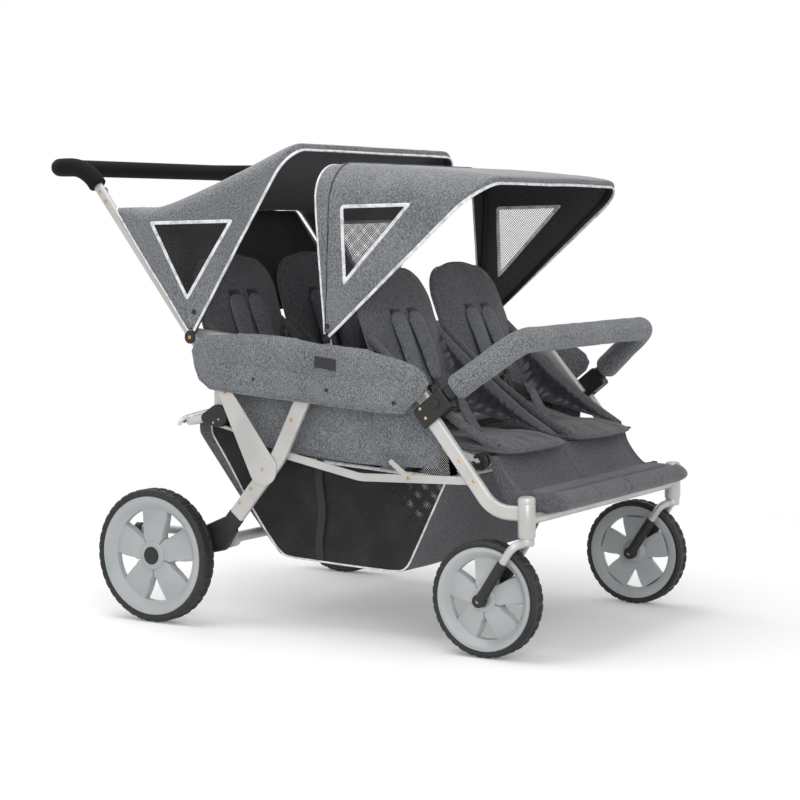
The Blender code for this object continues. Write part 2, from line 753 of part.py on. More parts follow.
def make_seat_frame(name, hinge, tube_spot):
    """Two cross tubes joined by an arm at each side."""
    reach = RAIL_INNER_X - GAP
    arm_x = PANEL_X - PLAY - SEAT_ARM_RADIUS
    made = node(name, rod(at(hinge, -reach), at(hinge, reach), CROSS_TUBE_RADIUS), LOOKS["frame"])
    join(made, rod(at(tube_spot, -arm_x), at(tube_spot, arm_x), CROSS_TUBE_RADIUS))
    for side in (1, -1):
        join(made, rod(at(hinge, side * arm_x), at(tube_spot, side * arm_x), SEAT_ARM_RADIUS, 10))
        knuckle = circle(tube_spot, CROSS_TUBE_RADIUS + 0.0065, 14)
        low, high = arm_x - SEAT_ARM_RADIUS + 0.001, arm_x + SEAT_ARM_RADIUS - 0.0005
        join(made, side_slab(knuckle, side, low, high))


def make_seat(row, side_name, hinge, front_tube, edge, length, angle):
    """One cushion and one backrest with its harness."""
    side = SIDES[side_name]
    middle = side * SEAT_CENTRE_X
    half = SEAT_PAD_WIDTH / 2
    back_y = hinge[0] - CROSS_TUBE_RADIUS - 0.002
    nose = [(middle + half * math.cos(t), edge + PAD_NOSE - PAD_NOSE * math.sin(t))
            for t in (math.pi * i / 10 for i in range(11))]
    outline = [(middle - half, back_y), (middle + half, back_y)] + nose
    floor = front_tube[1] + CROSS_TUBE_RADIUS + GAP
    pad = slab(outline, floor, floor + PAD_THICKNESS, lambda u, v, w: (u, v, w))
    node(f"{row}_cushion_{side_name}", pad, LOOKS["cloth"])

    along = Vector((0, math.cos(angle), math.sin(angle)))
    ahead = Vector((0, -math.sin(angle), math.cos(angle)))
    pivot = Vector(at(hinge, middle))

    def on_back(u, v, w):
        return pivot + Vector((u, 0, 0)) + along * v + ahead * w

    half = BACKREST_WIDTH / 2
    low = CROSS_TUBE_RADIUS + GAP
    top = length - BACK_ARCH
    crown = [(half - BACK_CORNER + BACK_CORNER * math.cos(t), top - BACK_CORNER + BACK_CORNER * math.sin(t))
             for t in (math.pi * i / 8 for i in range(5))]
    outline = [(-half, low), (half, low)] + crown + [(0, length)] + [(-u, v) for u, v in reversed(crown)]
    back = slab(outline, -0.4 * BACK_THICKNESS, 0.6 * BACK_THICKNESS, on_back)
    node(f"{row}_backrest_{side_name}", back, LOOKS["cloth"], at(hinge))
    inner, outer, low, waist, high = 0.006, 0.070, 0.050, 0.085, 0.262
    harness = [(-outer, low), (outer, low), (outer, high), (inner, high), (inner, waist)]
    harness += [(-inner, waist), (-inner, high), (-outer, high)]
    face = 0.6 * BACK_THICKNESS + GAP
    strap = slab(harness, face, face + HARNESS_THICKNESS, on_back)
    node(f"{row}_harness_{side_name}", strap, LOOKS["cloth"], at(hinge))


# Soft goods


def make_side_panel(side_name):
    """The cloth wall between the rail and the seat, with a hole for the front seat tube."""
    side = SIDES[side_name]
    outline = [(0.232, 0.389), (0.346, 0.386), (0.501, 0.390), (0.608, 0.402), (0.695, 0.414)]
    outline += [(0.745, 0.458), (0.764, 0.512), (0.770, 0.600), (0.790, rail_z(0.790))]
    outline += [(0.340, rail_z(0.340)), (0.270, 0.545), (0.225, 0.470)]
    panel = side_slab(outline, side, PANEL_X, PANEL_X + PANEL_THICKNESS)
    made = node(f"side_panel_{side_name}", panel, LOOKS["cloth"])
    hole = circle(FRONT_HINGE, CROSS_TUBE_RADIUS + 2 * PLAY, 16)
    cut(made, side_slab(hole, side, PANEL_X - 0.01, RAIL_INNER_X + 0.01))


def make_side_flap(side_name):
    """The padded flap over the rail, hung on two tongues that lie on the rail."""
    side = SIDES[side_name]
    outline = [(0.290, 0.504), (0.360, 0.507), (0.433, 0.513), (0.564, 0.522), (0.698, 0.531)]
    outline += [(0.803, 0.540), (0.836, 0.577), (0.850, 0.627), (0.836, 0.655), (0.724, 0.668)]
    outline += [(0.563, 0.660), (0.484, 0.649), (0.382, 0.641), (0.294, 0.622), (0.261, 0.611)]
    outline += [(0.228, 0.584), (0.226, 0.568), (0.268, 0.530)]
    flap = side_slab(outline, side, FLAP_X, FLAP_X + FLAP_THICKNESS)
    made = node(f"side_flap_{side_name}", flap, LOOKS["cloth"])
    lift = RAIL_WIDTH / 2 / math.cos(heading(RAIL_BEND, HANDLE_PIVOT)) + GAP
    for y0, y1 in ((0.375, 0.470), (0.560, 0.720)):
        low0, low1 = rail_z(y0) + lift, rail_z(y1) + lift
        tongue = [(y0, low0), (y1, low1), (y1, low1 + 0.003), (y0, low0 + 0.003)]
        join(made, side_slab(tongue, side, RAIL_INNER_X + 0.002, FLAP_X + 0.003))


def make_basket():
    """An open-topped parcel basket with sloping ends."""
    hoop_y = REAR_HINGE[0] + HOOP_REACH
    rim_y = hoop_y - HOOP_TUBE_RADIUS - GAP
    outline = [(0.233, 0.362), (0.339, 0.148), (0.666, 0.159), (0.781, 0.287), (rim_y, 0.430)]
    outline += [(rim_y, REAR_HINGE[1] - HOOP_DROP + 0.002), (0.800, 0.440), (0.600, 0.386)]
    body = side_slab(outline, 1, -BASKET_HALF_WIDTH, BASKET_HALF_WIDTH)
    made = node("basket", body, LOOKS["mesh"])
    t = BASKET_CLOTH
    room = [(0.233 + 1.2 * t, 0.372), (0.339 + 0.8 * t, 0.148 + t), (0.666 - 0.5 * t, 0.159 + t)]
    room += [(0.781 - 1.2 * t, 0.287 + 0.6 * t), (rim_y - t, 0.430 + 0.5 * t), (rim_y - t, 0.60), (0.20, 0.60)]
    cut(made, side_slab(room, 1, -BASKET_HALF_WIDTH + t, BASKET_HALF_WIDTH - t))


def make_basket_hoop():
    """The rear hoop of the basket, turning on a round disc at each side."""
    end = (REAR_HINGE[0] + HOOP_REACH, REAR_HINGE[1] - HOOP_DROP)
    reach = STAY_X + STAY_THICKNESS
    made = node("basket_hoop", rod(at(end, -reach), at(end, reach), HOOP_TUBE_RADIUS), LOOKS["plastic"],
                at(REAR_HINGE))
    for side in (1, -1):
        arm = link(REAR_HINGE, end, HOOP_DISC_RADIUS, HOOP_TUBE_RADIUS + 0.002, 18)
        join(made, side_slab(arm, side, STAY_X, reach))


def canopy_arch(pivot, angle, reach, half_width, corner, tip, steps=6):
    """Points of one hoop of cloth: up a side, round the corner, across and down again."""
    arc = []
    for i in range(steps + 1):
        turn = math.pi / 2 * i / steps
        arc.append((half_width - corner + corner * math.cos(turn), reach - corner + corner * math.sin(turn)))
    right = [(half_width, tip)] + arc
    flat = right + [(-a, r) for a, r in reversed(right)]
    return [at(shifted(pivot, angle, r), a) for a, r in flat]


def canopy_cloth(pivot, stations, half_width, tip):
    """A thin closed shell lofted through hoops (angle, reach, corner radius)."""
    mesh = bmesh.new()
    skins = []
    for inset in (0, CANOPY_CLOTH):
        skin = []
        for angle, reach, corner in stations:
            points = canopy_arch(pivot, angle, reach - inset, half_width - inset, corner - inset, tip)
            skin.append([mesh.verts.new(p) for p in points])
        skins.append(skin)
    for skin in skins:
        for first, second in zip(skin, skin[1:]):
            for i in range(len(first) - 1):
                mesh.faces.new((first[i], first[i + 1], second[i + 1], second[i]))
    outer, inner = skins
    for row in (0, -1):
        for i in range(len(outer[row]) - 1):
            mesh.faces.new((outer[row][i], outer[row][i + 1], inner[row][i + 1], inner[row][i]))
    for column in (0, -1):
        for i in range(len(stations) - 1):
            mesh.faces.new((
                outer[i][column], outer[i + 1][column], inner[i + 1][column], inner[i][column],
            ))
    return mesh


def canopy_bow(pivot, bow, x, corner=CANOPY_CORNER):
    """A flat strip bent into a hoop; its legs pass the pivot at both sides."""
    angle, reach = bow
    back = shifted(pivot, angle, -BOW_WIDTH / 2)
    top = shifted(pivot, angle, reach)
    route = [at(back, x), at(top, x), at(top, -x), at(back, -x)]
    return tube(rounded(route, corner, 6), rectangle(BOW_THICKNESS, BOW_WIDTH))


def bow_stations(bow, corner, spread=math.radians(1.3)):
    """Two hoops of cloth, just ahead of and just behind a bow."""
    angle, reach = bow
    over = BOW_THICKNESS / 2 + PLAY + CANOPY_CLOTH
    return [(angle + turn, reach + over, corner + over) for turn in (-spread, spread)]


def make_front_canopy():
    rear_x = RAIL_INNER_X + BOW_THICKNESS + 2 * PLAY + BOW_THICKNESS / 2
    front_x = rear_x + BOW_THICKNESS + 6 * PLAY
    rear_bow = canopy_bow(CANOPY_PIVOT, FRONT_CANOPY_REAR_BOW, rear_x)
    node("front_canopy_rear_bow", rear_bow, LOOKS["plastic"], at(CANOPY_PIVOT))
    front_bow = canopy_bow(CANOPY_PIVOT, FRONT_CANOPY_FRONT_BOW, front_x)
    node("front_canopy_front_bow", front_bow, LOOKS["plastic"], at(CANOPY_PIVOT))
    rear = bow_stations(FRONT_CANOPY_REAR_BOW, CANOPY_CORNER)
    front = bow_stations(FRONT_CANOPY_FRONT_BOW, CANOPY_CORNER)
    middle = (math.radians(117.0), 0.424, CANOPY_CORNER)
    half_width = front_x + BOW_THICKNESS / 2 + PLAY + CANOPY_CLOTH
    back = (*FRONT_CANOPY_BACK, CANOPY_CORNER)
    cloth = canopy_cloth(CANOPY_PIVOT, [back] + rear + [middle] + front, half_width, CANOPY_TIP)
    node("front_canopy_cover", cloth, LOOKS["cloth"], at(CANOPY_PIVOT))


def make_rear_canopy():
    x = PLATE_X + BOW_THICKNESS / 2
    bow = canopy_bow(HANDLE_PIVOT, REAR_CANOPY_BOW, x, REAR_CANOPY_CORNER)
    node("rear_canopy_bow", bow, LOOKS["plastic"], at(HANDLE_PIVOT))
    back_angle, back_reach = REAR_CANOPY_BACK
    stations = [(back_angle, back_reach, 0.020), (math.radians(72.1), 0.309, 0.035)]
    stations += [(math.radians(106.8), 0.387, 0.055)]
    stations += bow_stations(REAR_CANOPY_BOW, REAR_CANOPY_CORNER)
    half_width = REAR_CLOTH_X + CANOPY_CLOTH
    cloth = canopy_cloth(HANDLE_PIVOT, stations, half_width, CANOPY_TIP)
    node("rear_canopy_cover", cloth, LOOKS["cloth"], at(HANDLE_PIVOT))


def make_apron():
    """The cloth in front of the feet: a sheet down from the seat and a padded roll."""
    top_y = FRONT_SEAT_TUBE[0] - CROSS_TUBE_RADIUS - 0.0065 - PLAY
    top_z = FRONT_SEAT_TUBE[1] + CROSS_TUBE_RADIUS - 0.002
    base = FRONT_CROSS_TUBE_Z + FRONT_CROSS_TUBE_RADIUS + GAP
    outline = [(top_y, top_z), (top_y, top_z - 0.030), (0.078, base + 0.012), (0.050, base)]
    outline += [(-0.045, base), (ROLL_FRONT, base + 0.014), (ROLL_FRONT + 0.003, base + 0.030)]
    outline += [(-0.040, base + 0.041), (0.010, base + 0.040), (0.050, base + 0.034)]
    outline += [(top_y - APRON_CLOTH - 0.008, top_z - 0.020), (top_y - APRON_CLOTH, top_z)]
    apron = side_slab(outline, 1, -APRON_HALF_WIDTH, APRON_HALF_WIDTH)
    node("footrest_apron", apron, LOOKS["cloth"])


def centre_on_length():
    """Slides every object so that the middle of the whole length is at y = 0."""
    bpy.context.view_layer.update()
    graph = bpy.context.evaluated_depsgraph_get()
    ys = []
    for obj in bpy.context.scene.objects:
        if obj.hide_render:
            continue
        shaped = obj.evaluated_get(graph)
        ys += [(shaped.matrix_world @ v.co).y for v in shaped.data.vertices]
    middle = (min(ys) + max(ys)) / 2
    for obj in bpy.context.scene.objects:
        obj.location.y -= middle
    print("length", max(ys) - min(ys), "middle", middle)


clear_scene()
LOOKS = {
    "frame": material("painted aluminium", (0.58, 0.57, 0.54), 0.35, 0.7),
    "plastic": material("black plastic", (0.012, 0.012, 0.012), 0.5),
    "foam": material("black foam", (0.008, 0.008, 0.009), 0.85),
    "tyre": material("tyre rubber", (0.012, 0.012, 0.013), 0.8),
    "rim": material("grey wheel plastic", (0.35, 0.38, 0.40), 0.45),
    "cloth": material("grey melange cloth", (0.10, 0.11, 0.12), 0.9),
    "mesh": material("black basket mesh", (0.015, 0.015, 0.017), 0.9),
}

for name, sign in SIDES.items():
    make_rail(name)
    make_rear_leg(name)
    make_axle_arm(name)
    make_lock_plate(name)
    make_side_stay(name)
    make_front_leg(name)
    make_front_bracket(name)
    make_fork(name)
    make_side_panel(name)
    make_side_flap(name)
    front_hub = TYRE_WIDTH / 2 + 0.002 - PLAY
    caster = at(FRONT_AXLE, sign * CASTER_HALF_TRACK)
    make_wheel("front", name, caster, FRONT_WHEEL_RADIUS, FRONT_TYRE_DEPTH, front_hub, front_hub, False)
    rear_x = REAR_TYRE_X + TYRE_WIDTH / 2
    rear_hub = rear_x - LEG_OUTER_X - PLAY
    rear = at(REAR_AXLE, sign * rear_x)
    make_wheel("rear", name, rear, REAR_WHEEL_RADIUS, REAR_TYRE_DEPTH, rear_hub, REAR_HUB_OUT, True)
    make_seat("front", name, FRONT_HINGE, FRONT_SEAT_TUBE, FRONT_PAD_EDGE, FRONT_BACK_LENGTH, FRONT_BACK_ANGLE)
    make_seat("rear", name, REAR_HINGE, REAR_SEAT_TUBE, REAR_PAD_EDGE, REAR_BACK_LENGTH, REAR_BACK_ANGLE)

make_front_cross_tube()
make_rear_axle_tube()
make_brake_lever()
make_handle()
make_fold_lever()
make_bumper()
make_seat_frame("front_seat_frame", FRONT_HINGE, FRONT_SEAT_TUBE)
make_seat_frame("rear_seat_frame", REAR_HINGE, REAR_SEAT_TUBE)
make_basket()
make_basket_hoop()
make_front_canopy()
make_rear_canopy()
make_apron()
centre_on_length()
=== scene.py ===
# %% [markdown]
# # A folding stroller with four seats
# Two rows of two seats hang in a frame of painted aluminium tube, under two cloth canopies.
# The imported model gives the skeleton: how each body moves and where each piece sits. This
# script dresses it. Each cell says what the real piece is, then makes it. Lengths are metres.

# %% Load the frame
import math

import bmesh
import bpy
from mathutils import Matrix, Vector, noise


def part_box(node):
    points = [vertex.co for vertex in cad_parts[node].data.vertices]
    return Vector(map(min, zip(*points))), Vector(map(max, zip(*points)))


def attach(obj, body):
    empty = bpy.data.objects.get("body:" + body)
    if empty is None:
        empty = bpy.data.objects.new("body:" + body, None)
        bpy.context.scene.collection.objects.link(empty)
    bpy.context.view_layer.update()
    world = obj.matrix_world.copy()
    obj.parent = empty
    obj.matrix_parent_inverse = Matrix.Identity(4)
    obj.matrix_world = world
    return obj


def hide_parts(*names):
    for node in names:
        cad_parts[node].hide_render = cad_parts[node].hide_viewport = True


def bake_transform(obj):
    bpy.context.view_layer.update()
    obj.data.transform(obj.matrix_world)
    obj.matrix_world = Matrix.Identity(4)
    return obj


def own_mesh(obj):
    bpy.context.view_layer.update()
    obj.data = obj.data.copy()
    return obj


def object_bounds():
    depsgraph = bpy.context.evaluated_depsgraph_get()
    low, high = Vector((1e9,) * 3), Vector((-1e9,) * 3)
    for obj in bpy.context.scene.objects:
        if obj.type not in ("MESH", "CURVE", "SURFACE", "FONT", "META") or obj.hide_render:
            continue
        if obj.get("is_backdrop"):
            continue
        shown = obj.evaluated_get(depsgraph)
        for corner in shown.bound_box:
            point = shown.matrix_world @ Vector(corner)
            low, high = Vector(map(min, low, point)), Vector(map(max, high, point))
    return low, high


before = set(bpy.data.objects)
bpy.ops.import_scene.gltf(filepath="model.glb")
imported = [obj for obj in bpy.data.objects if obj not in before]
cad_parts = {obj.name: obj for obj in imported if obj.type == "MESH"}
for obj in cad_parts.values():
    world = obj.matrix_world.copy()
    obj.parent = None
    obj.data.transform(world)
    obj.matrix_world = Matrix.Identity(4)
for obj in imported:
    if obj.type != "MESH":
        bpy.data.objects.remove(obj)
cad_low, cad_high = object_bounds()
tube_low, tube_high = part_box("front_cross_tube")
CASTER_Y = (tube_low.y + tube_high.y) / 2
print("CAD box", [round(v, 3) for v in cad_high - cad_low], "caster line at y =", round(CASTER_Y, 4))

# %% [markdown]
# ## One measuring frame
# The side view is drawn from the caster stems: y counts backwards from them and z upwards
# from the floor. `P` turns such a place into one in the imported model, and `SIDES` gives the
# sign of x for each side, so that most pieces are written once and made twice.

# %% Places, sides and small geometry
SIDES = {"left": 1, "right": -1}
TAU = 2 * math.pi


def P(x, y, z):
    """A place measured from the caster line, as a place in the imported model."""
    return Vector((x, y + CASTER_Y, z))


def shifted(point, angle, distance):
    """A side-view point moved along a heading."""
    return (point[0] + distance * math.cos(angle), point[1] + distance * math.sin(angle))


def heading(start, end):
    """The angle of the line from one side-view point to another."""
    return math.atan2(end[1] - start[1], end[0] - start[0])


def mix(a, b, share):
    return a + (b - a) * share


def ease(share):
    """0 to 1 with a soft start and a soft end."""
    share = min(1.0, max(0.0, share))
    return share * share * (3 - 2 * share)


# %% [markdown]
# ## Colours and node helpers
# Colours are picked as sRGB hex values, but shaders work in linear light, so one function
# turns them. `add` puts in a node, sets what is set and links what is linked. The others
# stand for what every finish here needs: a noise, a ramp of two colours and a relief.

# %% Colour and node helpers


def linear(colour):
    """An sRGB hex colour as linear RGBA."""
    values = [int(colour[i:i + 2], 16) / 255 for i in (1, 3, 5)]
    return (*[v / 12.92 if v <= 0.04045 else ((v + 0.055) / 1.055) ** 2.4 for v in values], 1.0)


def add(tree, kind, inputs=None, **properties):
    """Adds a node; an input is given a value, or the output socket that feeds it."""
    made = tree.nodes.new(kind)
    for key, value in properties.items():
        setattr(made, key, value)
    for key, value in (inputs or {}).items():
        if isinstance(value, bpy.types.NodeSocket):
            tree.links.new(value, made.inputs[key])
        else:
            made.inputs[key].default_value = value
    return made


def surface(name, colour, roughness, **values):
    """A new material with its Principled shader; further sockets are named in values."""
    made = bpy.data.materials.new(name)
    made.use_nodes = True
    shader = made.node_tree.nodes["Principled BSDF"]
    shader.inputs["Base Color"].default_value = linear(colour)
    shader.inputs["Roughness"].default_value = roughness
    for key, value in values.items():
        shader.inputs[key.replace("_", " ")].default_value = value
    return made, made.node_tree, shader


def ramp(tree, factor, dark, light, low, high):
    """A two-colour ramp between two positions of a pattern."""
    made = add(tree, "ShaderNodeValToRGB", {"Fac": factor})
    stops = made.color_ramp.elements
    stops[0].position, stops[0].color = low, linear(dark)
    stops[1].position, stops[1].color = high, linear(light)
    return made.outputs["Color"]


def object_place(tree):
    """The place in the object's own space, so that a pattern keeps its real size."""
    return add(tree, "ShaderNodeTexCoord").outputs["Object"]


def grain(tree, place, scale, detail):
    """A noise; scale is in cells per metre."""
    return add(tree, "ShaderNodeTexNoise", {"Vector": place, "Scale": scale, "Detail": detail}).outputs["Fac"]


def wear(tree, shader, colour, height, strength, distance):
    """Gives the shader a colour and a relief; distance is the relief's depth in metres."""
    tree.links.new(colour, shader.inputs["Base Color"])
    bump = add(tree, "ShaderNodeBump", {"Height": height, "Strength": strength, "Distance": distance})
    tree.links.new(bump.outputs["Normal"], shader.inputs["Normal"])


# %% [markdown]
# ## Melange polyester
# The covers are melange: dark and pale yarns are woven together, so that the cloth looks
# grey from afar and speckled close up. Real yarn is about 0.5 mm; that is far below one pixel
# of this picture, so the flecks are drawn 2.4 mm long and 1.2 mm wide, in two directions as
# warp and weft. The weave has a soft sheen at grazing angles and a slight relief.

# %% Woven cloth
FLECK_LONG, FLECK_WIDE = 0.0024, 0.0012


def melange(name, dark, light, sheen=0.25):
    """Cloth of two yarns; dark and light are the yarns' colours."""
    made, tree, shader = surface(name, dark, 0.88, Sheen_Weight=sheen, Sheen_Roughness=0.45)
    place = object_place(tree)
    yarns = []
    for long_axis in (0, 2):
        sizes = [FLECK_WIDE] * 3
        sizes[long_axis] = FLECK_LONG
        scaled = add(tree, "ShaderNodeMapping", {"Vector": place, "Scale": [0.5 / s for s in sizes]})
        speckle = add(tree, "ShaderNodeTexNoise", {"Vector": scaled.outputs["Vector"], "Scale": 1.0,
                                                   "Detail": 1.0, "Roughness": 0.6})
        yarns.append(speckle.outputs["Fac"])
    weave = add(tree, "ShaderNodeMix", {"Factor": 0.5, "A": yarns[0], "B": yarns[1]})
    cloud = grain(tree, place, 9.0, 3.0)
    shade = add(tree, "ShaderNodeMath", {0: cloud, 1: 0.12, 2: -0.06}, operation="MULTIPLY_ADD")
    total = add(tree, "ShaderNodeMath", {0: weave.outputs["Result"], 1: shade.outputs["Value"]},
                operation="ADD")
    colour = ramp(tree, total.outputs["Value"], dark, light, 0.34, 0.66)
    wear(tree, shader, colour, weave.outputs["Result"], 0.35, 0.0006)
    return made


OUTER_CLOTH = melange("melange_polyester_outer", "#3b3e41", "#96999d")
SEAT_CLOTH = melange("melange_polyester_seat", "#37383b", "#727478", 0.2)
PAD_CLOTH = melange("melange_polyester_pads", "#45474c", "#7d8086", 0.2)
# A dark cloth: the skirt over the basket hoop and the back curtain, and the inside of each canopy, where it
# is painted shade: the outer melange drawn darker for the shadow under the hood.
DARK_CLOTH_AND_PAINTED_HOOD_SHADE = melange("dark_cloth_and_painted_hood_shade", "#2c2c2e", "#4c4c4f", 0.12)
print("cloths:", OUTER_CLOTH.name, SEAT_CLOTH.name, PAD_CLOTH.name, DARK_CLOTH_AND_PAINTED_HOOD_SHADE.name)

# %% [markdown]
# ## Taffeta, reflective piping and webbing
# The gathered wings beside each child are thin taffeta, smoother and shinier than the
# covers. The edges are bound with reflective tape: glass beads give it a white, even look.
# The straps are nylon webbing with ribs across, 2.2 mm apart on the real strap and drawn at
# 3 mm so that a few of them show.

# %% Trims
TAFFETA, tree, shader = surface("polyester_taffeta", "#3b3c42", 0.42, Sheen_Weight=0.3)
place = object_place(tree)
crinkle = grain(tree, place, 60.0, 4.0)
wear(tree, shader, ramp(tree, crinkle, "#303136", "#4a4b52", 0.35, 0.7), crinkle, 0.5, 0.003)

PIPING, tree, shader = surface("glass_bead_reflective_tape", "#e4e4e8", 0.45, Sheen_Weight=0.1)
place = object_place(tree)
weave, creases = grain(tree, place, 420.0, 1.0), grain(tree, place, 55.0, 2.0)
both = add(tree, "ShaderNodeMix", {"Factor": 0.6, "A": weave, "B": creases}).outputs["Result"]
wear(tree, shader, ramp(tree, both, "#b9b9be", "#f2f2f4", 0.36, 0.55), both, 0.3, 0.001)

RIB_PITCH = 0.003
WEBBING, tree, shader = surface("nylon_webbing", "#1d1d1f", 0.7, Sheen_Weight=0.15)
place = object_place(tree)
ribs = add(tree, "ShaderNodeTexWave", {"Vector": place, "Scale": 0.314 / RIB_PITCH, "Distortion": 0.4},
           bands_direction="Z").outputs["Fac"]
wear(tree, shader, ramp(tree, ribs, "#131315", "#2f2f32", 0.2, 0.8), ribs, 0.6, 0.0006)
print("trims:", TAFFETA.name, PIPING.name, WEBBING.name)

# %% [markdown]
# ## Knitted mesh
# The windows and the basket are knitted mesh. A Voronoi pattern without randomness is a
# plain grid of cells; the distance to a cell's centre says where the hole is, and the alpha
# is 1 only on the thread. Real holes are about 2 mm, close to one pixel, so the pitch is
# drawn at 4.5 mm and the share of open area is kept.

# %% Mesh fabric
MESH_PITCH = 0.0045


def knitted_mesh(name, dark, light, hole):
    """See-through mesh in the side view; hole is half a hole's width as a share of the pitch."""
    made, tree, shader = surface(name, dark, 0.75, Sheen_Weight=0.1)
    place = object_place(tree)
    parts = add(tree, "ShaderNodeSeparateXYZ", {"Vector": place})
    flat = add(tree, "ShaderNodeCombineXYZ", {"X": parts.outputs["Y"], "Y": parts.outputs["Z"]})
    slanted = add(tree, "ShaderNodeMapping", {"Vector": flat.outputs["Vector"],
                                              "Rotation": (0, 0, math.radians(45))})
    cells = add(tree, "ShaderNodeTexVoronoi", {"Vector": slanted.outputs["Vector"],
                                               "Scale": 1 / MESH_PITCH, "Randomness": 0.0},
                voronoi_dimensions="2D", distance="CHEBYCHEV")
    thread = add(tree, "ShaderNodeMath", {0: cells.outputs["Distance"], 1: hole},
                 operation="GREATER_THAN")
    colour = ramp(tree, grain(tree, place, 14.0, 3.0), dark, light, 0.42, 0.75)
    tree.links.new(colour, shader.inputs["Base Color"])
    tree.links.new(thread.outputs["Value"], shader.inputs["Alpha"])
    return made


WINDOW_MESH = knitted_mesh("knitted_window_mesh", "#2a2a2c", "#3c3c3f", 0.39)
BASKET_MESH = knitted_mesh("knitted_basket_mesh", "#101011", "#29292c", 0.22)
print("mesh fabrics:", WINDOW_MESH.name, BASKET_MESH.name)

# %% [markdown]
# ## Painted aluminium, brass, plastics and rubber
# The tubes are aluminium with a silver polyester powder coat: satin, a little metallic, with
# the faint orange peel that powder leaves, about 3 mm across. Hard pieces are moulded nylon
# with a fine spark-eroded texture. Wheels are moulded polypropylene, tyres are foamed
# rubber with a dry, slightly dusty tread, and the grip is closed-cell foam with 1 mm pores.

# %% Hard materials


def speckled(name, colours, roughness, size, relief, **values):
    """A moulded or coated surface: two close colours and a grain of a real size in metres."""
    made, tree, shader = surface(name, colours[0], roughness, **values)
    place = object_place(tree)
    broad, fine = grain(tree, place, 7.0, 4.0), grain(tree, place, 1 / size, 2.0)
    worn = add(tree, "ShaderNodeMapRange", {"Value": broad, "To Min": roughness - 0.06,
                                            "To Max": roughness + 0.08})
    tree.links.new(worn.outputs["Result"], shader.inputs["Roughness"])
    wear(tree, shader, ramp(tree, broad, *colours, 0.35, 0.65), fine, relief, 0.0004)
    return made


SILVER_PAINT = speckled("powder_coated_aluminium", ("#bebdba", "#d0cfcc"), 0.36, 0.003, 0.12,
                        Metallic=0.35)
BLACK_NYLON = speckled("moulded_nylon", ("#151516", "#1f1f21"), 0.48, 0.0012, 0.25)
WHEEL_PLASTIC = speckled("moulded_polypropylene", ("#a8adaf", "#babdbe"), 0.38, 0.002, 0.10)
RUBBER = speckled("foamed_tyre_rubber", ("#18181a", "#29292b"), 0.62, 0.0016, 0.35)
GRIP_FOAM = speckled("closed_cell_foam", ("#0a0a0b", "#121213"), 0.9, 0.0011, 0.6,
                     Specular_IOR_Level=0.25)
BRASS = speckled("brass_rivet", ("#b98d5e", "#d9b58a"), 0.30, 0.002, 0.05, Metallic=1.0)
DARK_STEEL = speckled("blackened_steel", ("#2b2b2c", "#3c3c3e"), 0.4, 0.002, 0.08, Metallic=0.8)
print("hard materials:", [m.name for m in (SILVER_PAINT, BLACK_NYLON, WHEEL_PLASTIC, RUBBER,
                                           GRIP_FOAM, BRASS, DARK_STEEL)])

# %% [markdown]
# ## Mesh helpers
# Everything is built in bmesh from outlines, paths and profiles. Each helper adds to a mesh
# that it is given, so one piece can be made of several bodies, such as a tube with its cap.

# %% Outlines and paths


def circle(centre, radius, count=24):
    turns = [TAU * i / count for i in range(count)]
    return [(centre[0] + radius * math.cos(t), centre[1] + radius * math.sin(t)) for t in turns]


def oval(across, up, count=28):
    """A stadium: the section of a flat-sided tube."""
    radius = min(across, up) / 2
    reach = (max(across, up) - min(across, up)) / 2
    points = []
    for i in range(count):
        turn = TAU * (i + 0.5) / count
        a, b = radius * math.cos(turn), radius * math.sin(turn)
        if across < up:
            points.append((a, b + math.copysign(reach, b)))
        else:
            points.append((a + math.copysign(reach, a), b))
    return points


def rounded_box(across, up, radius, steps=3):
    """A rectangle with round corners, as a section."""
    points = []
    for quarter in range(4):
        cx = (across / 2 - radius) * (1 if quarter in (0, 3) else -1)
        cy = (up / 2 - radius) * (1 if quarter in (0, 1) else -1)
        for i in range(steps + 1):
            turn = math.pi / 2 * (quarter + i / steps)
            points.append((cx + radius * math.cos(turn), cy + radius * math.sin(turn)))
    return points


def hull(points):
    """The convex outline round some points."""
    ordered = sorted(set(points))

    def chain(items):
        kept = []
        for p in items:
            while len(kept) > 1:
                (ax, ay), (bx, by) = kept[-2], kept[-1]
                if (bx - ax) * (p[1] - ay) - (by - ay) * (p[0] - ax) > 1e-12:
                    break
                kept.pop()
            kept.append(p)
        return kept[:-1]

    return chain(ordered) + chain(reversed(ordered))


def link(start, end, radius_start, radius_end, count=40):
    """The outline of a bar with round ends of two radii."""
    return hull(circle(start, radius_start, count) + circle(end, radius_end, count))


def rounded(points, radius, steps=10):
    """The path through some points, with its inner corners rounded."""
    points = [Vector(p) for p in points]
    path = [points[0]]
    for before, corner, after in zip(points, points[1:], points[2:]):
        back, ahead = before - corner, after - corner
        half = back.angle(ahead) / 2
        if half > math.pi / 2 - 1e-3:
            path.append(corner)
            continue
        tangent = min(radius / math.tan(half), 0.48 * min(back.length, ahead.length))
        back.normalize()
        ahead.normalize()
        arc_radius = tangent * math.tan(half)
        centre = corner + (back + ahead).normalized() * (tangent / math.cos(half))
        start, end = corner + back * tangent - centre, corner + ahead * tangent - centre
        sweep = start.angle(end)
        for i in range(steps + 1):
            share = i / steps
            a, b = math.sin((1 - share) * sweep), math.sin(share * sweep)
            path.append(centre + (start * a + end * b).normalized() * arc_radius)
    path.append(points[-1])
    return path


def between(a, b, c, d, t):
    """A point from b to c on the soft curve through four points (Catmull-Rom)."""
    return 0.5 * ((2 * b) + (c - a) * t + (2 * a - 5 * b + 4 * c - d) * t * t
                  + (3 * b - a - 3 * c + d) * t ** 3)


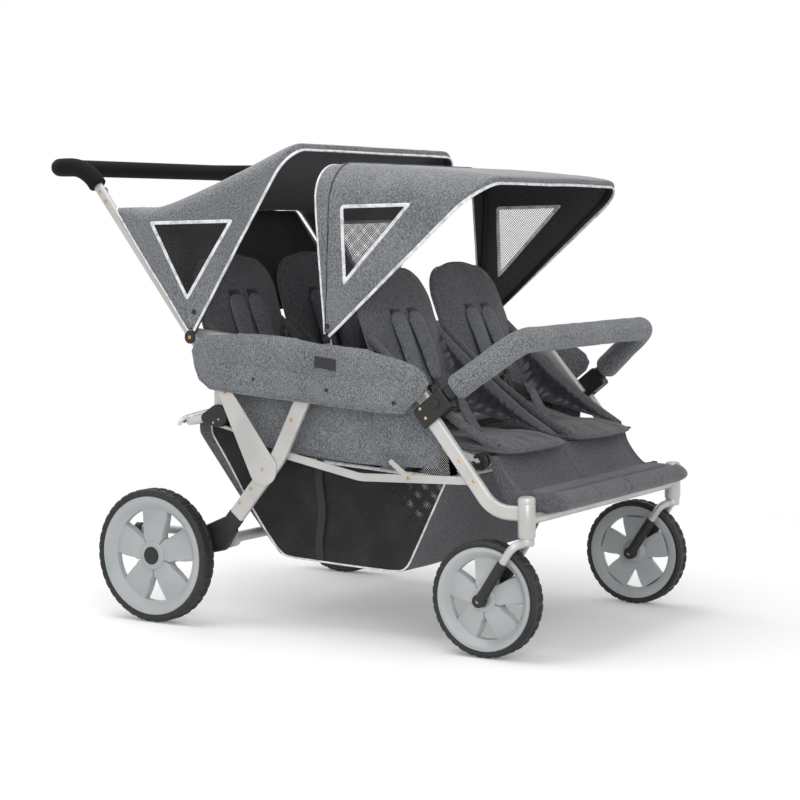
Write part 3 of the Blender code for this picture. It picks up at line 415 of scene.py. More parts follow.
def smooth_path(points, steps=6):
    """A soft curve through all of the points."""
    points = [Vector(p) for p in points]
    ends = [2 * points[0] - points[1]] + points + [2 * points[-1] - points[-2]]
    path = []
    for corners in zip(ends, ends[1:], ends[2:], ends[3:]):
        path += [between(*corners, i / steps) for i in range(steps)]
    path.append(points[-1])
    return path


def smooth_outline(points, steps):
    """A closed outline softened through its points."""
    count = len(points)
    made = []
    for i in range(count):
        corners = [Vector(points[(i + k) % count]) for k in (-1, 0, 1, 2)]
        made += [tuple(between(*corners, k / steps)) for k in range(steps)]
    return made


# %% Solids from outlines and paths


def bridge(mesh, first, second, closed=True):
    """Faces from one row of vertices to the next; closed when the rows are rings."""
    count = len(first)
    for i in range(count if closed else count - 1):
        j = (i + 1) % count
        mesh.faces.new((first[i], first[j], second[j], second[i]))


def loft(mesh, rows, ends=(0, -1)):
    """A skin over rings of vertices, with a face on each end that is named."""
    for first, second in zip(rows, rows[1:]):
        bridge(mesh, first, second)
    for end in ends:
        mesh.faces.new(rows[end])


def open_skin(mesh, rows):
    """A skin over rows of vertices whose borders stay open, as cloth needs."""
    for first, second in zip(rows, rows[1:]):
        bridge(mesh, first, second, closed=False)


def join(mesh, first, second):
    """Faces between two rings, either of which may have shrunk to a point."""
    if len(first) == 1:
        first, second = second, first
    if len(second) > 1:
        bridge(mesh, first, second)
    elif len(first) > 1:
        for i, vertex in enumerate(first):
            mesh.faces.new((vertex, first[(i + 1) % len(first)], second[0]))


def rings(mesh, path, section, across, scale=None):
    """One ring of vertices for each point of a path; scale changes the section on the way."""
    legs = [(b - a).normalized() for a, b in zip(path, path[1:])]
    tangents = [legs[0]] + [(a + b).normalized() for a, b in zip(legs, legs[1:])] + [legs[-1]]
    side = Vector(across)
    side = (side - tangents[0] * side.dot(tangents[0])).normalized()
    made = []
    for i, (point, tangent) in enumerate(zip(path, tangents)):
        if i:
            side = tangents[i - 1].rotation_difference(tangent) @ side
        up = tangent.cross(side)
        k = scale[i] if scale else 1
        made.append([mesh.verts.new(point + side * a * k + up * b * k) for a, b in section])
    return made


def tube(mesh, path, section, across=(1, 0, 0), scale=None):
    """A bar along a path."""
    loft(mesh, rings(mesh, [Vector(p) for p in path], section, across, scale))


def rod(mesh, start, end, radius, count=24, edge=0.0):
    """A straight round bar; edge rounds its two rims."""
    start, end = Vector(start), Vector(end)
    along = (end - start).normalized()
    across = (1, 0, 0) if abs(along.x) < 0.5 else (0, 1, 0)
    path, scale = [start, end], [1, 1]
    if edge:
        path = [start, start + along * edge, end - along * edge, end]
        scale = [1 - edge / radius, 1, 1, 1 - edge / radius]
    tube(mesh, path, circle((0, 0), radius, count), across, scale)


def plate(mesh, outline, side, low, high, edge=0.0):
    """A side-view outline pushed from low to high; edge chamfers both rims."""
    count = len(outline)
    area = sum(outline[i][0] * outline[(i + 1) % count][1] - outline[(i + 1) % count][0] * outline[i][1]
               for i in range(count))
    sign = math.copysign(1, area)
    inner = []
    for i in range(count):
        (ax, ay), (bx, by), (cx, cy) = outline[i - 1], outline[i], outline[(i + 1) % count]
        one = Vector((by - ay, ax - bx)).normalized()
        two = Vector((cy - by, bx - cx)).normalized()
        out = (one + two).normalized()
        inner.append((bx - sign * out[0] * edge, by - sign * out[1] * edge))
    levels = [(inner, low), (outline, low + edge), (outline, high - edge), (inner, high)]
    if not edge:
        levels = [(outline, low), (outline, high)]
    loft(mesh, [[mesh.verts.new(P(side * x, y, z)) for y, z in shape] for shape, x in levels])


def turned(mesh, profile, centre, side, segments, loop=False):
    """A profile of (distance outward, radius) turned about a line along x."""
    made = []
    for a, radius in profile:
        spot = P(centre[0] + side * a, centre[1], centre[2])
        ring = circle((0, 0), radius, segments if radius else 1)
        made.append([mesh.verts.new(spot + Vector((0, y, z))) for y, z in ring])
    for first, second in zip(made, made[1:] + made[:1] if loop else made[1:]):
        join(mesh, first, second)


def upright(mesh, profile, x, segments):
    """A profile of (height, radius) turned about a vertical line on the caster line."""
    made = []
    for z, radius in profile:
        ring = circle((0, 0), radius, segments if radius else 1)
        made.append([mesh.verts.new(P(x, 0, 0) + Vector((across, along, z))) for across, along in ring])
    for first, second in zip(made, made[1:]):
        join(mesh, first, second)
    return made


RIVET_SUNK = 0.0003


def rivet(mesh, spot, side, x, radius=0.0042, height=0.0022):
    """A domed rivet head on a face that looks sideways."""
    profile = [(0, 0), (0, radius), (0.35 * height, 0.97 * radius), (0.75 * height, 0.7 * radius),
               (height, 0.3 * radius), (height, 0)]
    turned(mesh, profile, (side * x, *spot), side, 20)


# %% Objects from meshes


def make(name, mesh, material, body=None, replaces=(), soft_angle=35, subdivide=0):
    """Turns a bmesh into a named piece, smooth below soft_angle, that rides on a body."""
    mesh.normal_update()
    bmesh.ops.recalc_face_normals(mesh, faces=mesh.faces)
    data = bpy.data.meshes.new(name)
    mesh.to_mesh(data)
    mesh.free()
    for one in material if isinstance(material, (list, tuple)) else [material]:
        data.materials.append(one)
    data.shade_smooth()
    if soft_angle:
        data.set_sharp_from_angle(angle=math.radians(soft_angle))
    made = bpy.data.objects.new(name, data)
    bpy.context.collection.objects.link(made)
    if subdivide:
        modifier = made.modifiers.new("Subdivision", "SUBSURF")
        modifier.levels = modifier.render_levels = subdivide
    if body:
        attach(made, body)
    if replaces:
        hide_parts(*replaces)
    return made


# %% [markdown]
# ## The frame's numbers
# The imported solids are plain, with eight flat sides to a tube. Here the same tubes are drawn
# round, along the same lines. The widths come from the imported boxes, so that a tube stays in
# its own layer: rail, stay, leg and plate pass each other side by side, like scissors.

# %% Layers and points of the frame


def side_layer(node):
    """How far from the middle a node on the left reaches, inside and outside."""
    low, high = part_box(node)
    return low.x, high.x


RAIL_IN, RAIL_OUT = side_layer("rail_left")
LEG_IN, LEG_OUT = 0.361, side_layer("rear_leg_left")[1]
STAY_IN, STAY_OUT = side_layer("side_stay_left")
PLATE_IN, PLATE_OUT = side_layer("lock_plate_left")
FRONT_LEG_OUT = LEG_IN + 0.018
CASTER_X = 0.374
LEG_MID = (LEG_IN + LEG_OUT) / 2

HANDLE_PIVOT = (0.855, 0.660)
RAIL_BEND = (0.320, 0.603)
FRONT_PIVOT = (0.240, 0.512)
REAR_LEG_BEND = (0.625, 0.395)
REAR_LEG_FOOT = (0.757, 0.236)
AXLE_TUBE = (0.785, 0.195)
REAR_AXLE = (0.945, 0.154)
PLATE_LOW = (0.662, 0.366)
PLATE_HIGH = (0.763, 0.532)
STAY_REAR = (0.620, 0.400)
STAY_BEND = (0.418, 0.361)
STAY_FRONT = (0.130, 0.370)
HANDLE_BEND = (1.164, 1.046)
HANDLE_TOP = (1.270, 1.046)
FRONT_HINGE = (0.350, 0.470)
FRONT_SEAT_TUBE = (0.135, 0.408)
REAR_HINGE = (0.800, 0.478)
REAR_SEAT_TUBE = (0.545, 0.424)
BUMPER_DIRECTION = math.radians(141.1)


def rail_z(y):
    """Height of the rail's centreline behind its bend."""
    return mix(RAIL_BEND[1], HANDLE_PIVOT[1], (y - RAIL_BEND[0]) / (HANDLE_PIVOT[0] - RAIL_BEND[0]))


REAR_LEG_PIVOT = (0.511, rail_z(0.511))
CANOPY_PIVOT = (0.511, rail_z(0.511) + 0.034)
LAYERS = (RAIL_IN, RAIL_OUT, STAY_IN, STAY_OUT, LEG_IN, LEG_OUT, PLATE_IN, PLATE_OUT)
print("layers from the middle:", [round(v, 4) for v in LAYERS])

# %% [markdown]
# ## Rails, legs, stays and plates
# Each is one bar swept along its bent path. The rail carries two short posts for the seat
# frames and a thin ear for the front canopy. The rivets have domed brass heads.

# %% Side frames


def bar(name, route, section, bend, body, node, extra=None):
    """A bent painted bar; extra adds more to the same mesh before it becomes a piece."""
    mesh = bmesh.new()
    tube(mesh, rounded([P(*p) for p in route], bend, 12), section)
    if extra:
        extra(mesh)
    make(name, mesh, SILVER_PAINT, body, [node])


RAIL_OVER = 0.0145
STAY_OVER = 0.0088
STRUT_FOOT, STRUT_OUT = (0.294, 0.367), STAY_OUT + 0.0015
CASTER_TOP = 0.310
FRONT_LEG_SLOPE = math.radians(51.5)
for side_name, side in SIDES.items():
    x = side * (RAIL_IN + RAIL_OUT) / 2
    end = shifted(HANDLE_PIVOT, heading(RAIL_BEND, HANDLE_PIVOT), RAIL_OVER)
    nose = shifted(FRONT_PIVOT, heading(RAIL_BEND, FRONT_PIVOT), RAIL_OVER)

    def posts(mesh):
        for hinge in (FRONT_HINGE, REAR_HINGE):
            plate(mesh, link((hinge[0], rail_z(hinge[0])), hinge, 0.0128, 0.0128), side,
                  RAIL_IN + 0.0005, RAIL_OUT - 0.001, 0.0015)
        plate(mesh, link(REAR_LEG_PIVOT, CANOPY_PIVOT, 0.0138, 0.0088), side, RAIL_IN + 0.0004,
              RAIL_IN + 0.0034, 0.0006)

    bar(f"seat_rail_{side_name}", [(x, *end), (x, *RAIL_BEND), (x, *nose)], oval(0.016, 0.0298), 0.05,
        "seat_frame", f"rail_{side_name}", extra=posts)

    x = side * LEG_MID
    top = shifted(REAR_LEG_PIVOT, heading(REAR_LEG_BEND, REAR_LEG_PIVOT), 0.012)
    bar(f"rear_leg_tube_{side_name}", [(x, *top), (x, *REAR_LEG_BEND), (x, *REAR_LEG_FOOT)],
        rounded_box(0.016, 0.0388, 0.0065, 5), 0.16, "rear_frame", f"rear_leg_{side_name}")

    x = side * (STAY_IN + STAY_OUT) / 2
    back = shifted(STAY_REAR, heading(STAY_BEND, STAY_REAR), STAY_OVER)
    front = shifted(STAY_FRONT, heading(STAY_BEND, STAY_FRONT), STAY_OVER)

    def strut(mesh):
        plate(mesh, link((0.337, 0.399), STRUT_FOOT, 0.0058, 0.0065, 24), side, STAY_OUT, STRUT_OUT, 0.0004)

    bar(f"side_stay_bar_{side_name}", [(x, *back), (x, *STAY_BEND), (x, *front)],
        rounded_box(STAY_OUT - STAY_IN, 0.0178, 0.0012), 0.12, "side_stays", f"side_stay_{side_name}",
        extra=strut)

    mesh = bmesh.new()
    plate(mesh, link(PLATE_LOW, PLATE_HIGH, 0.0368, 0.0178, 64), side, PLATE_IN, PLATE_OUT, 0.0009)
    make(f"lock_bar_{side_name}", mesh, SILVER_PAINT, "lock_plates", [f"lock_plate_{side_name}"],
         30)

    mesh = bmesh.new()
    x = side * (LEG_IN + FRONT_LEG_OUT) / 2
    run = (FRONT_PIVOT[1] - CASTER_TOP) / math.tan(FRONT_LEG_SLOPE)
    route = [P(x, *FRONT_PIVOT), P(x, FRONT_PIVOT[0] - run, CASTER_TOP), P(x, 0, CASTER_TOP)]
    tube(mesh, rounded(route, 0.09, 14), rounded_box(0.018, 0.0318, 0.0065, 5))
    plate(mesh, circle(FRONT_PIVOT, 0.0158, 32), side, LEG_IN + 0.001, FRONT_LEG_OUT - 0.001, 0.001)
    make(f"front_leg_tube_{side_name}", mesh, SILVER_PAINT, "front_frame", [f"front_leg_{side_name}"])

    mesh = bmesh.new()
    upright(mesh, [(0.2602, 0.0), (0.2602, 0.0172), (0.262, 0.0178), (0.2645, 0.0187), (0.3315, 0.0187),
                   (0.3325, 0.0181), (0.3335, 0.0188), (0.340, 0.0187), (0.3445, 0.0172), (0.347, 0.013),
                   (0.348, 0.007), (0.3481, 0.0)], side * CASTER_X, 40)
    make(f"caster_housing_{side_name}", mesh, SILVER_PAINT, "front_frame")

    for body, x_face, spots in (
        ("rear_frame", LEG_OUT, [(0.586, 0.480), (0.697, 0.320), (0.727, 0.286)]),
        ("lock_plates", PLATE_OUT, [PLATE_LOW, PLATE_HIGH]),
        ("front_frame", FRONT_LEG_OUT, [(0.158, 0.413), (0.124, 0.372)]),
        ("side_stays", STRUT_OUT, [STRUT_FOOT]),
        ("handle", LEG_OUT, [(1.118, 0.9870), (1.101, 0.9652)]),
    ):
        mesh = bmesh.new()
        for spot in spots:
            rivet(mesh, spot, side, x_face - RIVET_SUNK)
        make(f"{body}_rivets_{side_name}", mesh, BRASS, body)

CROSS_BAR_Z = 0.297
BAR_RADIUS = 0.0124
mesh = bmesh.new()
reach = CASTER_X - 0.0195
rod(mesh, P(-reach, 0, CROSS_BAR_Z), P(reach, 0, CROSS_BAR_Z), 0.011, 32)
make("front_cross_bar", mesh, SILVER_PAINT, "front_frame", ["front_cross_tube"])
mesh = bmesh.new()
rod(mesh, P(-LEG_IN, *AXLE_TUBE), P(LEG_IN, *AXLE_TUBE), BAR_RADIUS, 32)
make("rear_axle_bar", mesh, SILVER_PAINT, "rear_frame", ["rear_axle_tube"])

# %% [markdown]
# ## Axle arms, brake and seat frames
# The rear leg ends in a moulded nylon foot that holds the axle tube and the wheel's axle. A
# foot lever on the axle tube works the brake. Each seat row hangs on a frame of two cross
# tubes and two arms, with a round nylon knuckle at the front corners.

# %% Rear feet and cross frames
run = heading(REAR_LEG_BEND, REAR_LEG_FOOT)
FOOT_HALF = 0.0222
for side_name, side in SIDES.items():
    mesh = bmesh.new()
    start = shifted(REAR_LEG_FOOT, run, 0.0004)
    upper, lower = (shifted(start, run + turn, FOOT_HALF) for turn in (math.pi / 2, -math.pi / 2))
    heel = shifted(lower, run, 0.056)
    outline = hull([upper, lower, heel] + circle(AXLE_TUBE, 0.024, 36) + circle(REAR_AXLE, 0.020, 36))
    plate(mesh, outline, side, LEG_IN + 0.0005, LEG_OUT, 0.003)
    sock = [P(side * LEG_MID, *shifted(REAR_LEG_FOOT, run, d)) for d in (-0.0255, 0.004)]
    tube(mesh, sock, rounded_box(0.0176, 0.0412, 0.0072, 5))
    boss_in, boss_out = LEG_OUT - 0.002 - LEG_MID, LEG_OUT + 0.0015 - LEG_MID
    turned(mesh, [(boss_in, 0), (boss_in, 0.0165), (boss_out, 0.0150), (boss_out, 0)],
           (side * LEG_MID, *AXLE_TUBE), side, 32)
    make(f"rear_foot_{side_name}", mesh, BLACK_NYLON, "rear_frame", [f"axle_arm_{side_name}"])

    mesh = bmesh.new()
    turned(mesh, [(0, 0), (0, 0.0058), (0.0445, 0.0058), (0.0455, 0.0048), (0.0455, 0)],
           (side * LEG_OUT, *REAR_AXLE), side, 24)
    make(f"rear_axle_{side_name}", mesh, DARK_STEEL, "rear_frame")

BRAKE_X = -0.330
BRAKE_END = (1.056, 0.200)
mesh = bmesh.new()
turned(mesh, [(-0.011, 0.013), (0.011, 0.013), (0.0105, 0.0205), (-0.0105, 0.0205)],
       (BRAKE_X, *AXLE_TUBE), 1, 36, loop=True)
lever_start = shifted(AXLE_TUBE, heading(AXLE_TUBE, BRAKE_END) + math.radians(35), 0.018)
lever_way = heading(lever_start, BRAKE_END)
lever = [lever_start, shifted(lever_start, lever_way, 0.05), BRAKE_END]
tube(mesh, [P(BRAKE_X, *p) for p in lever], circle((0, 0), 0.0098, 24))
make("brake_bar", mesh, SILVER_PAINT, "brake", ["brake_lever"])
mesh = bmesh.new()
cap_start, cap_end = (P(BRAKE_X, *shifted(BRAKE_END, lever_way, d)) for d in (-0.020, 0.004))
rod(mesh, cap_start, cap_end, 0.0129, 28, 0.004)
make("brake_foot_cap", mesh, BLACK_NYLON, "brake")

ARM_X = 0.3247
for row, hinge, front in (("front", FRONT_HINGE, FRONT_SEAT_TUBE), ("rear", REAR_HINGE, REAR_SEAT_TUBE)):
    mesh = bmesh.new()
    for reach, spot in ((RAIL_IN - 0.0004, hinge), (ARM_X, front)):
        rod(mesh, P(-reach, *spot), P(reach, *spot), BAR_RADIUS, 28)
    for side in (1, -1):
        rod(mesh, P(side * ARM_X, *hinge), P(side * ARM_X, *front), 0.0084, 20)
    make(f"{row}_seat_tubes", mesh, SILVER_PAINT, "seat_frame", [f"{row}_seat_frame"])
    mesh = bmesh.new()
    for side in (1, -1):
        profile = [(-0.0075, 0), (-0.0075, 0.018), (-0.006, 0.0188), (0.006, 0.0188), (0.0078, 0.017),
                   (0.0078, 0.011), (0.0062, 0.010), (0.0062, 0.0075), (0.0078, 0.0065), (0.0078, 0)]
        turned(mesh, profile, (side * ARM_X, *front), side, 36)
    make(f"{row}_seat_knuckles", mesh, BLACK_NYLON, "seat_frame")

# %% [markdown]
# ## Front brackets with their buttons
# A black nylon bracket wraps the rail's end, holds the front leg's pivot and takes the bumper
# bar in a socket. It is drawn as an inner and an outer cheek joined by a solid nose, with
# room between the cheeks for the leg to turn. The push button sits on the outer face.

# %% Brackets


def by_bumper(along, up):
    """A side-view point measured along the bumper's direction from the front pivot."""
    return shifted(shifted(FRONT_PIVOT, BUMPER_DIRECTION, along), BUMPER_DIRECTION - math.pi / 2, up)


def by_bumper_box(back, front, low, high):
    """The four corners of a rectangle in the bumper's direction."""
    return [by_bumper(a, b) for a, b in ((back, low), (front, low), (front, high), (back, high))]


def soft_corners(points, radius, steps=5):
    """A closed outline with its corners rounded."""
    made = []
    for i, corner in enumerate(points):
        before, after = Vector(points[i - 1]), Vector(points[(i + 1) % len(points)])
        corner = Vector(corner)
        a = corner + (before - corner).normalized() * radius
        b = corner + (after - corner).normalized() * radius
        for k in range(steps + 1):
            t = k / steps
            p = a * (1 - t) ** 2 + corner * 2 * t * (1 - t) + b * t * t
            made.append((p[0], p[1]))
    return made


BRACKET_FACE = FRONT_LEG_OUT + 0.0085
SOCKET_X = LEG_IN + 0.009
BUTTON = by_bumper(0.033, 0)
for side_name, side in SIDES.items():
    mesh = bmesh.new()
    cheek = soft_corners(by_bumper_box(-0.0215, 0.0625, -0.0285, 0.0195), 0.007)
    nose = soft_corners(by_bumper_box(0.0208, 0.0622, -0.0283, 0.0193), 0.006)
    plate(mesh, cheek, side, RAIL_OUT + 0.0006, LEG_IN - 0.0006, 0.0008)
    plate(mesh, cheek, side, FRONT_LEG_OUT + 0.0006, BRACKET_FACE, 0.0022)
    plate(mesh, nose, side, LEG_IN - 0.001, FRONT_LEG_OUT + 0.001)
    collar = [P(side * SOCKET_X, *by_bumper(a, 0)) for a in (0.040, 0.0635)]
    tube(mesh, collar, circle((0, 0), 0.0158, 32))
    turned(mesh, [(-0.001, 0.0108), (0.0012, 0.0108), (0.0012, 0.0132), (-0.001, 0.0140)],
           (side * BRACKET_FACE, *BUTTON), side, 32, loop=True)
    make(f"front_joint_{side_name}", mesh, BLACK_NYLON, "seat_frame", [f"front_bracket_{side_name}"])
    mesh = bmesh.new()
    turned(mesh, [(-0.002, 0), (-0.002, 0.0103), (0.0022, 0.0103), (0.003, 0.0092), (0.0022, 0.005),
                  (0.002, 0)], (side * BRACKET_FACE, *BUTTON), side, 32)
    make(f"release_button_{side_name}", mesh, BLACK_NYLON, f"bumper_button_{side_name}",
         [f"bumper_button_{side_name}"])
    mesh = bmesh.new()
    for spot in ((0.25, 0.52), (0.236, 0.501)):
        rivet(mesh, spot, side, BRACKET_FACE - RIVET_SUNK, 0.0036)
    make(f"bracket_rivets_{side_name}", mesh, BRASS, "seat_frame")
print("brackets at", [round(v, 3) for v in BUTTON])

# %% [markdown]
# ## Caster forks
# One bent tube passes over the wheel as a fork, under a crown. Nylon sleeves cover the lower
# part of both legs and swell to a round boss at the axle.

# %% Forks
TYRE_HALF = 0.0215
FORK_SPREAD = TYRE_HALF + 0.012
FRONT_AXLE = (0.093, 0.125)
KNEE = (0.016, 0.2445)
CROWN = (-0.002, 0.260 - 0.0003 - 0.008)
for side_name, side in SIDES.items():
    middle = side * CASTER_X
    legs = {}
    for sign in (1, -1):
        x = middle + sign * FORK_SPREAD
        legs[sign] = [P(x, *FRONT_AXLE), P(x, *KNEE)]
    route = legs[-1] + [P(middle, *CROWN)] + legs[1][::-1]
    mesh = bmesh.new()
    tube(mesh, rounded(route, 0.024, 10), circle((0, 0), 0.0088, 24))
    levels = upright(mesh, ((0.2437, 0.0145), (0.2455, 0.0165), (0.2565, 0.0168), (0.2597, 0.0155)),
                     middle, 32)
    mesh.faces.new(levels[0])
    mesh.faces.new(levels[-1])
    make(f"fork_tube_{side_name}", mesh, SILVER_PAINT, f"caster_{side_name}",
         [f"caster_fork_{side_name}"])
    mesh = bmesh.new()
    for sign in (1, -1):
        axle, knee = legs[sign]
        begin = knee.lerp(axle, 0.30)
        path = [begin, begin.lerp(axle, 0.06), begin.lerp(axle, 0.75), axle]
        tube(mesh, path, circle((0, 0), 0.0112, 28), scale=[0.93, 1, 1.02, 1.12])
        turned(mesh, [(-0.0098, 0), (-0.0098, 0.0130), (-0.0082, 0.0142), (0.0082, 0.0142),
                      (0.0098, 0.0128), (0.0098, 0)],
               (middle + sign * FORK_SPREAD, *FRONT_AXLE), sign, 32)
    make(f"fork_sleeves_{side_name}", mesh, BLACK_NYLON, f"caster_{side_name}")
    mesh = bmesh.new()
    ends = [P(middle + sign * (FORK_SPREAD + 0.0105), *FRONT_AXLE) for sign in (-1, 1)]
    rod(mesh, *ends, 0.0048, 20, 0.001)
    make(f"fork_axle_{side_name}", mesh, BRASS, f"caster_{side_name}")

# %% [markdown]
# ## Wheels
# The rim is one moulding: a barrel with a proud lip, a hub ring and five fan-shaped spokes
# that are deep from front to back. Each spoke is lofted outwards through rectangles that
# widen, so that its side walls show through the openings. The tyre is turned from a profile
# and its tread is cut in blocks: rows of vertices on the grooves are pushed inwards.

# %% Rims and tyres


def make_rim(name, centre, side, radius, body, node, hub_in, hub_out):
    """A rim with five fan-shaped spokes; hub_in and hub_out are how far the hub reaches."""
    mesh = bmesh.new()
    lip = 0.0185
    barrel = [(-lip, radius), (lip, radius), (lip + 0.0016, radius - 0.0012),
              (lip + 0.0016, 0.925 * radius), (lip - 0.001, 0.888 * radius), (0.010, 0.838 * radius),
              (0.0045, 0.788 * radius), (-0.006, 0.775 * radius), (-0.0130, 0.80 * radius),
              (-lip, 0.88 * radius)]
    turned(mesh, barrel, centre, side, 120, loop=True)
    ring = 0.24 * radius
    hub = [(hub_out - 0.0035, 0.55 * ring), (hub_out, 0.62 * ring), (hub_out, 0.90 * ring),
           (hub_out - 0.003, ring), (0.002, 1.06 * ring), (-0.012, 1.10 * ring), (-hub_in, 0.80 * ring),
           (-hub_in, 0.30 * ring), (hub_out - 0.0035, 0.30 * ring)]
    turned(mesh, hub, centre, side, 72, loop=True)
    steps = 9
    for k in range(5):
        middle = math.pi / 2 + TAU * k / 5
        rows = []
        for i in range(steps + 1):
            share = i / steps
            r = mix(0.23, 0.805, share) * radius
            half = mix(0.50, 0.345, min(1.0, max(0.0, (r / radius - 0.40) / 0.40)))
            if r < 0.40 * radius:
                half = min(0.625, 0.50 + (0.40 - r / radius) * 2.6)
            front = mix(hub_out - 0.005, 0.0035, ease(share))
            back = mix(-0.011, -0.0125, share)
            crown = 0.0018 * math.sin(math.pi * share)
            wide = half * 1.05
            section = [(-half * 0.90, front), (-half * 0.45, front + crown), (half * 0.45, front + crown),
                       (half * 0.90, front), (half * 0.96, front - 0.0018), (wide, back + 0.002),
                       (wide * 0.95, back), (-wide * 0.95, back), (-wide, back + 0.002),
                       (-half * 0.96, front - 0.0018)]
            rows.append([mesh.verts.new(P(centre[0] + side * a, centre[1] + r * math.cos(middle + t),
                                          centre[2] + r * math.sin(middle + t))) for t, a in section])
        loft(mesh, rows)
    make(name, mesh, WHEEL_PLASTIC, body, [node], 32)


def make_tyre(name, centre, side, wheel_radius, rim_radius, body, node, blocks):
    """A tyre whose tread has one row of long pockets and slits across both shoulders."""
    mesh = bmesh.new()
    half = TYRE_HALF
    depth = wheel_radius - rim_radius
    flat = wheel_radius - 0.0004
    profile = [(-0.86 * half, rim_radius + 0.0002), (-0.97 * half, rim_radius + 0.28 * depth),
               (-half, rim_radius + 0.55 * depth), (-0.90 * half, flat - 0.0022), (-0.74 * half, flat),
               (-0.40 * half, flat), (-0.34 * half, flat), (0.34 * half, flat), (0.40 * half, flat),
               (0.74 * half, flat), (0.90 * half, flat - 0.0022), (half, rim_radius + 0.55 * depth),
               (0.97 * half, rim_radius + 0.28 * depth), (0.86 * half, rim_radius + 0.0002)]
    columns = 12
    segments = blocks * columns
    rows = []
    for a_index, (a, radius) in enumerate(profile):
        row = []
        for i in range(segments):
            cell = i % columns
            cut = 0.0
            if a_index in (6, 7) and 2 <= cell <= columns - 2:
                cut = 0.0026
            elif a_index in (2, 3, 4, 5, 8, 9, 10, 11) and cell in (0, columns // 2):
                cut = 0.0020 if a_index not in (2, 11) else 0.0012
            elif a_index in (5, 6, 7, 8) and cell == 0:
                cut = 0.0020
            t = TAU * (i + 0.5 * (cell == 1) - 0.5 * (cell == columns - 1)) / segments
            row.append(mesh.verts.new(P(centre[0] + side * a, centre[1] + (radius - cut) * math.cos(t),
                                        centre[2] + (radius - cut) * math.sin(t))))
        rows.append(row)
    loft(mesh, rows + rows[:1], ends=())
    make(name, mesh, RUBBER, body, [node], 28)


REAR_TYRE_MID = sum(side_layer("rear_tyre_left")) / 2
for side_name, side in SIDES.items():
    for row, x, axle, wheel, rim, hub_in, hub_out, blocks in (
        ("front", CASTER_X, FRONT_AXLE, 0.125, 0.111, 0.0228, 0.0205, 18),
        ("rear", REAR_TYRE_MID, REAR_AXLE, 0.154, 0.137, 0.0265, 0.0170, 20),
    ):
        centre = (side * x, *axle)
        body = f"{row}_wheel_{side_name}"
        make_rim(f"{row}_wheel_rim_{side_name}", centre, side, rim, body, f"{row}_rim_{side_name}",
                 hub_in, hub_out)
        make_tyre(f"{row}_wheel_tyre_{side_name}", centre, side, wheel, rim, body,
                  f"{row}_tyre_{side_name}", blocks)
    mesh = bmesh.new()
    turned(mesh, [(0.010, 0), (0.010, 0.0205), (0.0180, 0.0205), (0.0190, 0.0185), (0.0188, 0.010),
                  (0.0186, 0)], (side * REAR_TYRE_MID, *REAR_AXLE), side, 48)
    make(f"hub_cap_{side_name}", mesh, BLACK_NYLON, f"rear_wheel_{side_name}")
print("wheels made, rear wheel centre at x =", round(REAR_TYRE_MID, 4))

# %% [markdown]
# ## Push handle
# The handle is one tube that rises from the lock plates, kinks back and crosses over. Black
# foam covers the cross bar and both corners; it is a little fatter than the tube and its
# ends are rounded. A small hooked trigger on the right unlocks the fold.

# %% Handle
HANDLE_FOOT = shifted(PLATE_HIGH, heading(HANDLE_PIVOT, PLATE_HIGH), 0.012)
TUBE_RUN = heading(HANDLE_BEND, HANDLE_FOOT)


def mirrored(point):
    """The same place on the other side of the stroller."""
    return Vector((-point[0], point[1], point[2]))


FOAM_RADIUS = 0.0209
near = [Vector((LEG_MID, *p)) for p in (HANDLE_FOOT, HANDLE_BEND, HANDLE_TOP)]
knee = rounded(near, 0.10, 12)[:-1]
crown = rounded([near[1], near[2], mirrored(near[2]), mirrored(near[1])], 0.055, 14)[1:-1]
mesh = bmesh.new()
for side in (1, -1):
    tube(mesh, [P(side * p.x, p.y, p.z) for p in knee], oval(0.016, 0.0238))
make("handle_bar", mesh, SILVER_PAINT, "handle", ["handle_tube"])

mesh = bmesh.new()
start = Vector((LEG_MID, *shifted(HANDLE_BEND, TUBE_RUN, 0.057)))
half = [start] + knee[1:] + crown[:15]
grip = [P(*p) for p in half]
grip += [grip[-1].lerp(P(*mirrored(half[-1])), i / 20) for i in range(1, 20)]
grip += [P(*mirrored(p)) for p in reversed(half)]
grip.insert(1, grip[0] + (grip[1] - grip[0]).normalized() * 0.003)
grip.insert(-1, grip[-1] + (grip[-2] - grip[-1]).normalized() * 0.003)
scale = [mix(1.0, 0.955, ease((0.345 - abs(spot.x)) / 0.08)) for spot in grip]
scale[0] = scale[-1] = 0.88
tube(mesh, grip, circle((0, 0), FOAM_RADIUS, 32), scale=scale)
make("handle_foam", mesh, GRIP_FOAM, "handle", ["handle_grip"], 50)

LEVER_PIVOT = shifted(HANDLE_BEND, TUBE_RUN, 0.071)
mesh = bmesh.new()
hook = link(LEVER_PIVOT, shifted(LEVER_PIVOT, TUBE_RUN + math.radians(15), 0.030), 0.0088, 0.0056, 28)
plate(mesh, hook, -1, LEG_IN - 0.0062, LEG_IN - 0.0008, 0.0008)
make("fold_trigger_hook", mesh, BLACK_NYLON, "fold_trigger", ["fold_lever"])
print("handle height", round(HANDLE_TOP[1] + FOAM_RADIUS, 3))

# %% [markdown]
# ## Basket hoop
# Behind the rear seats a hoop on two round nylon hinges holds the basket's rear rim. Black
# cloth with a pale binding is sewn over it.

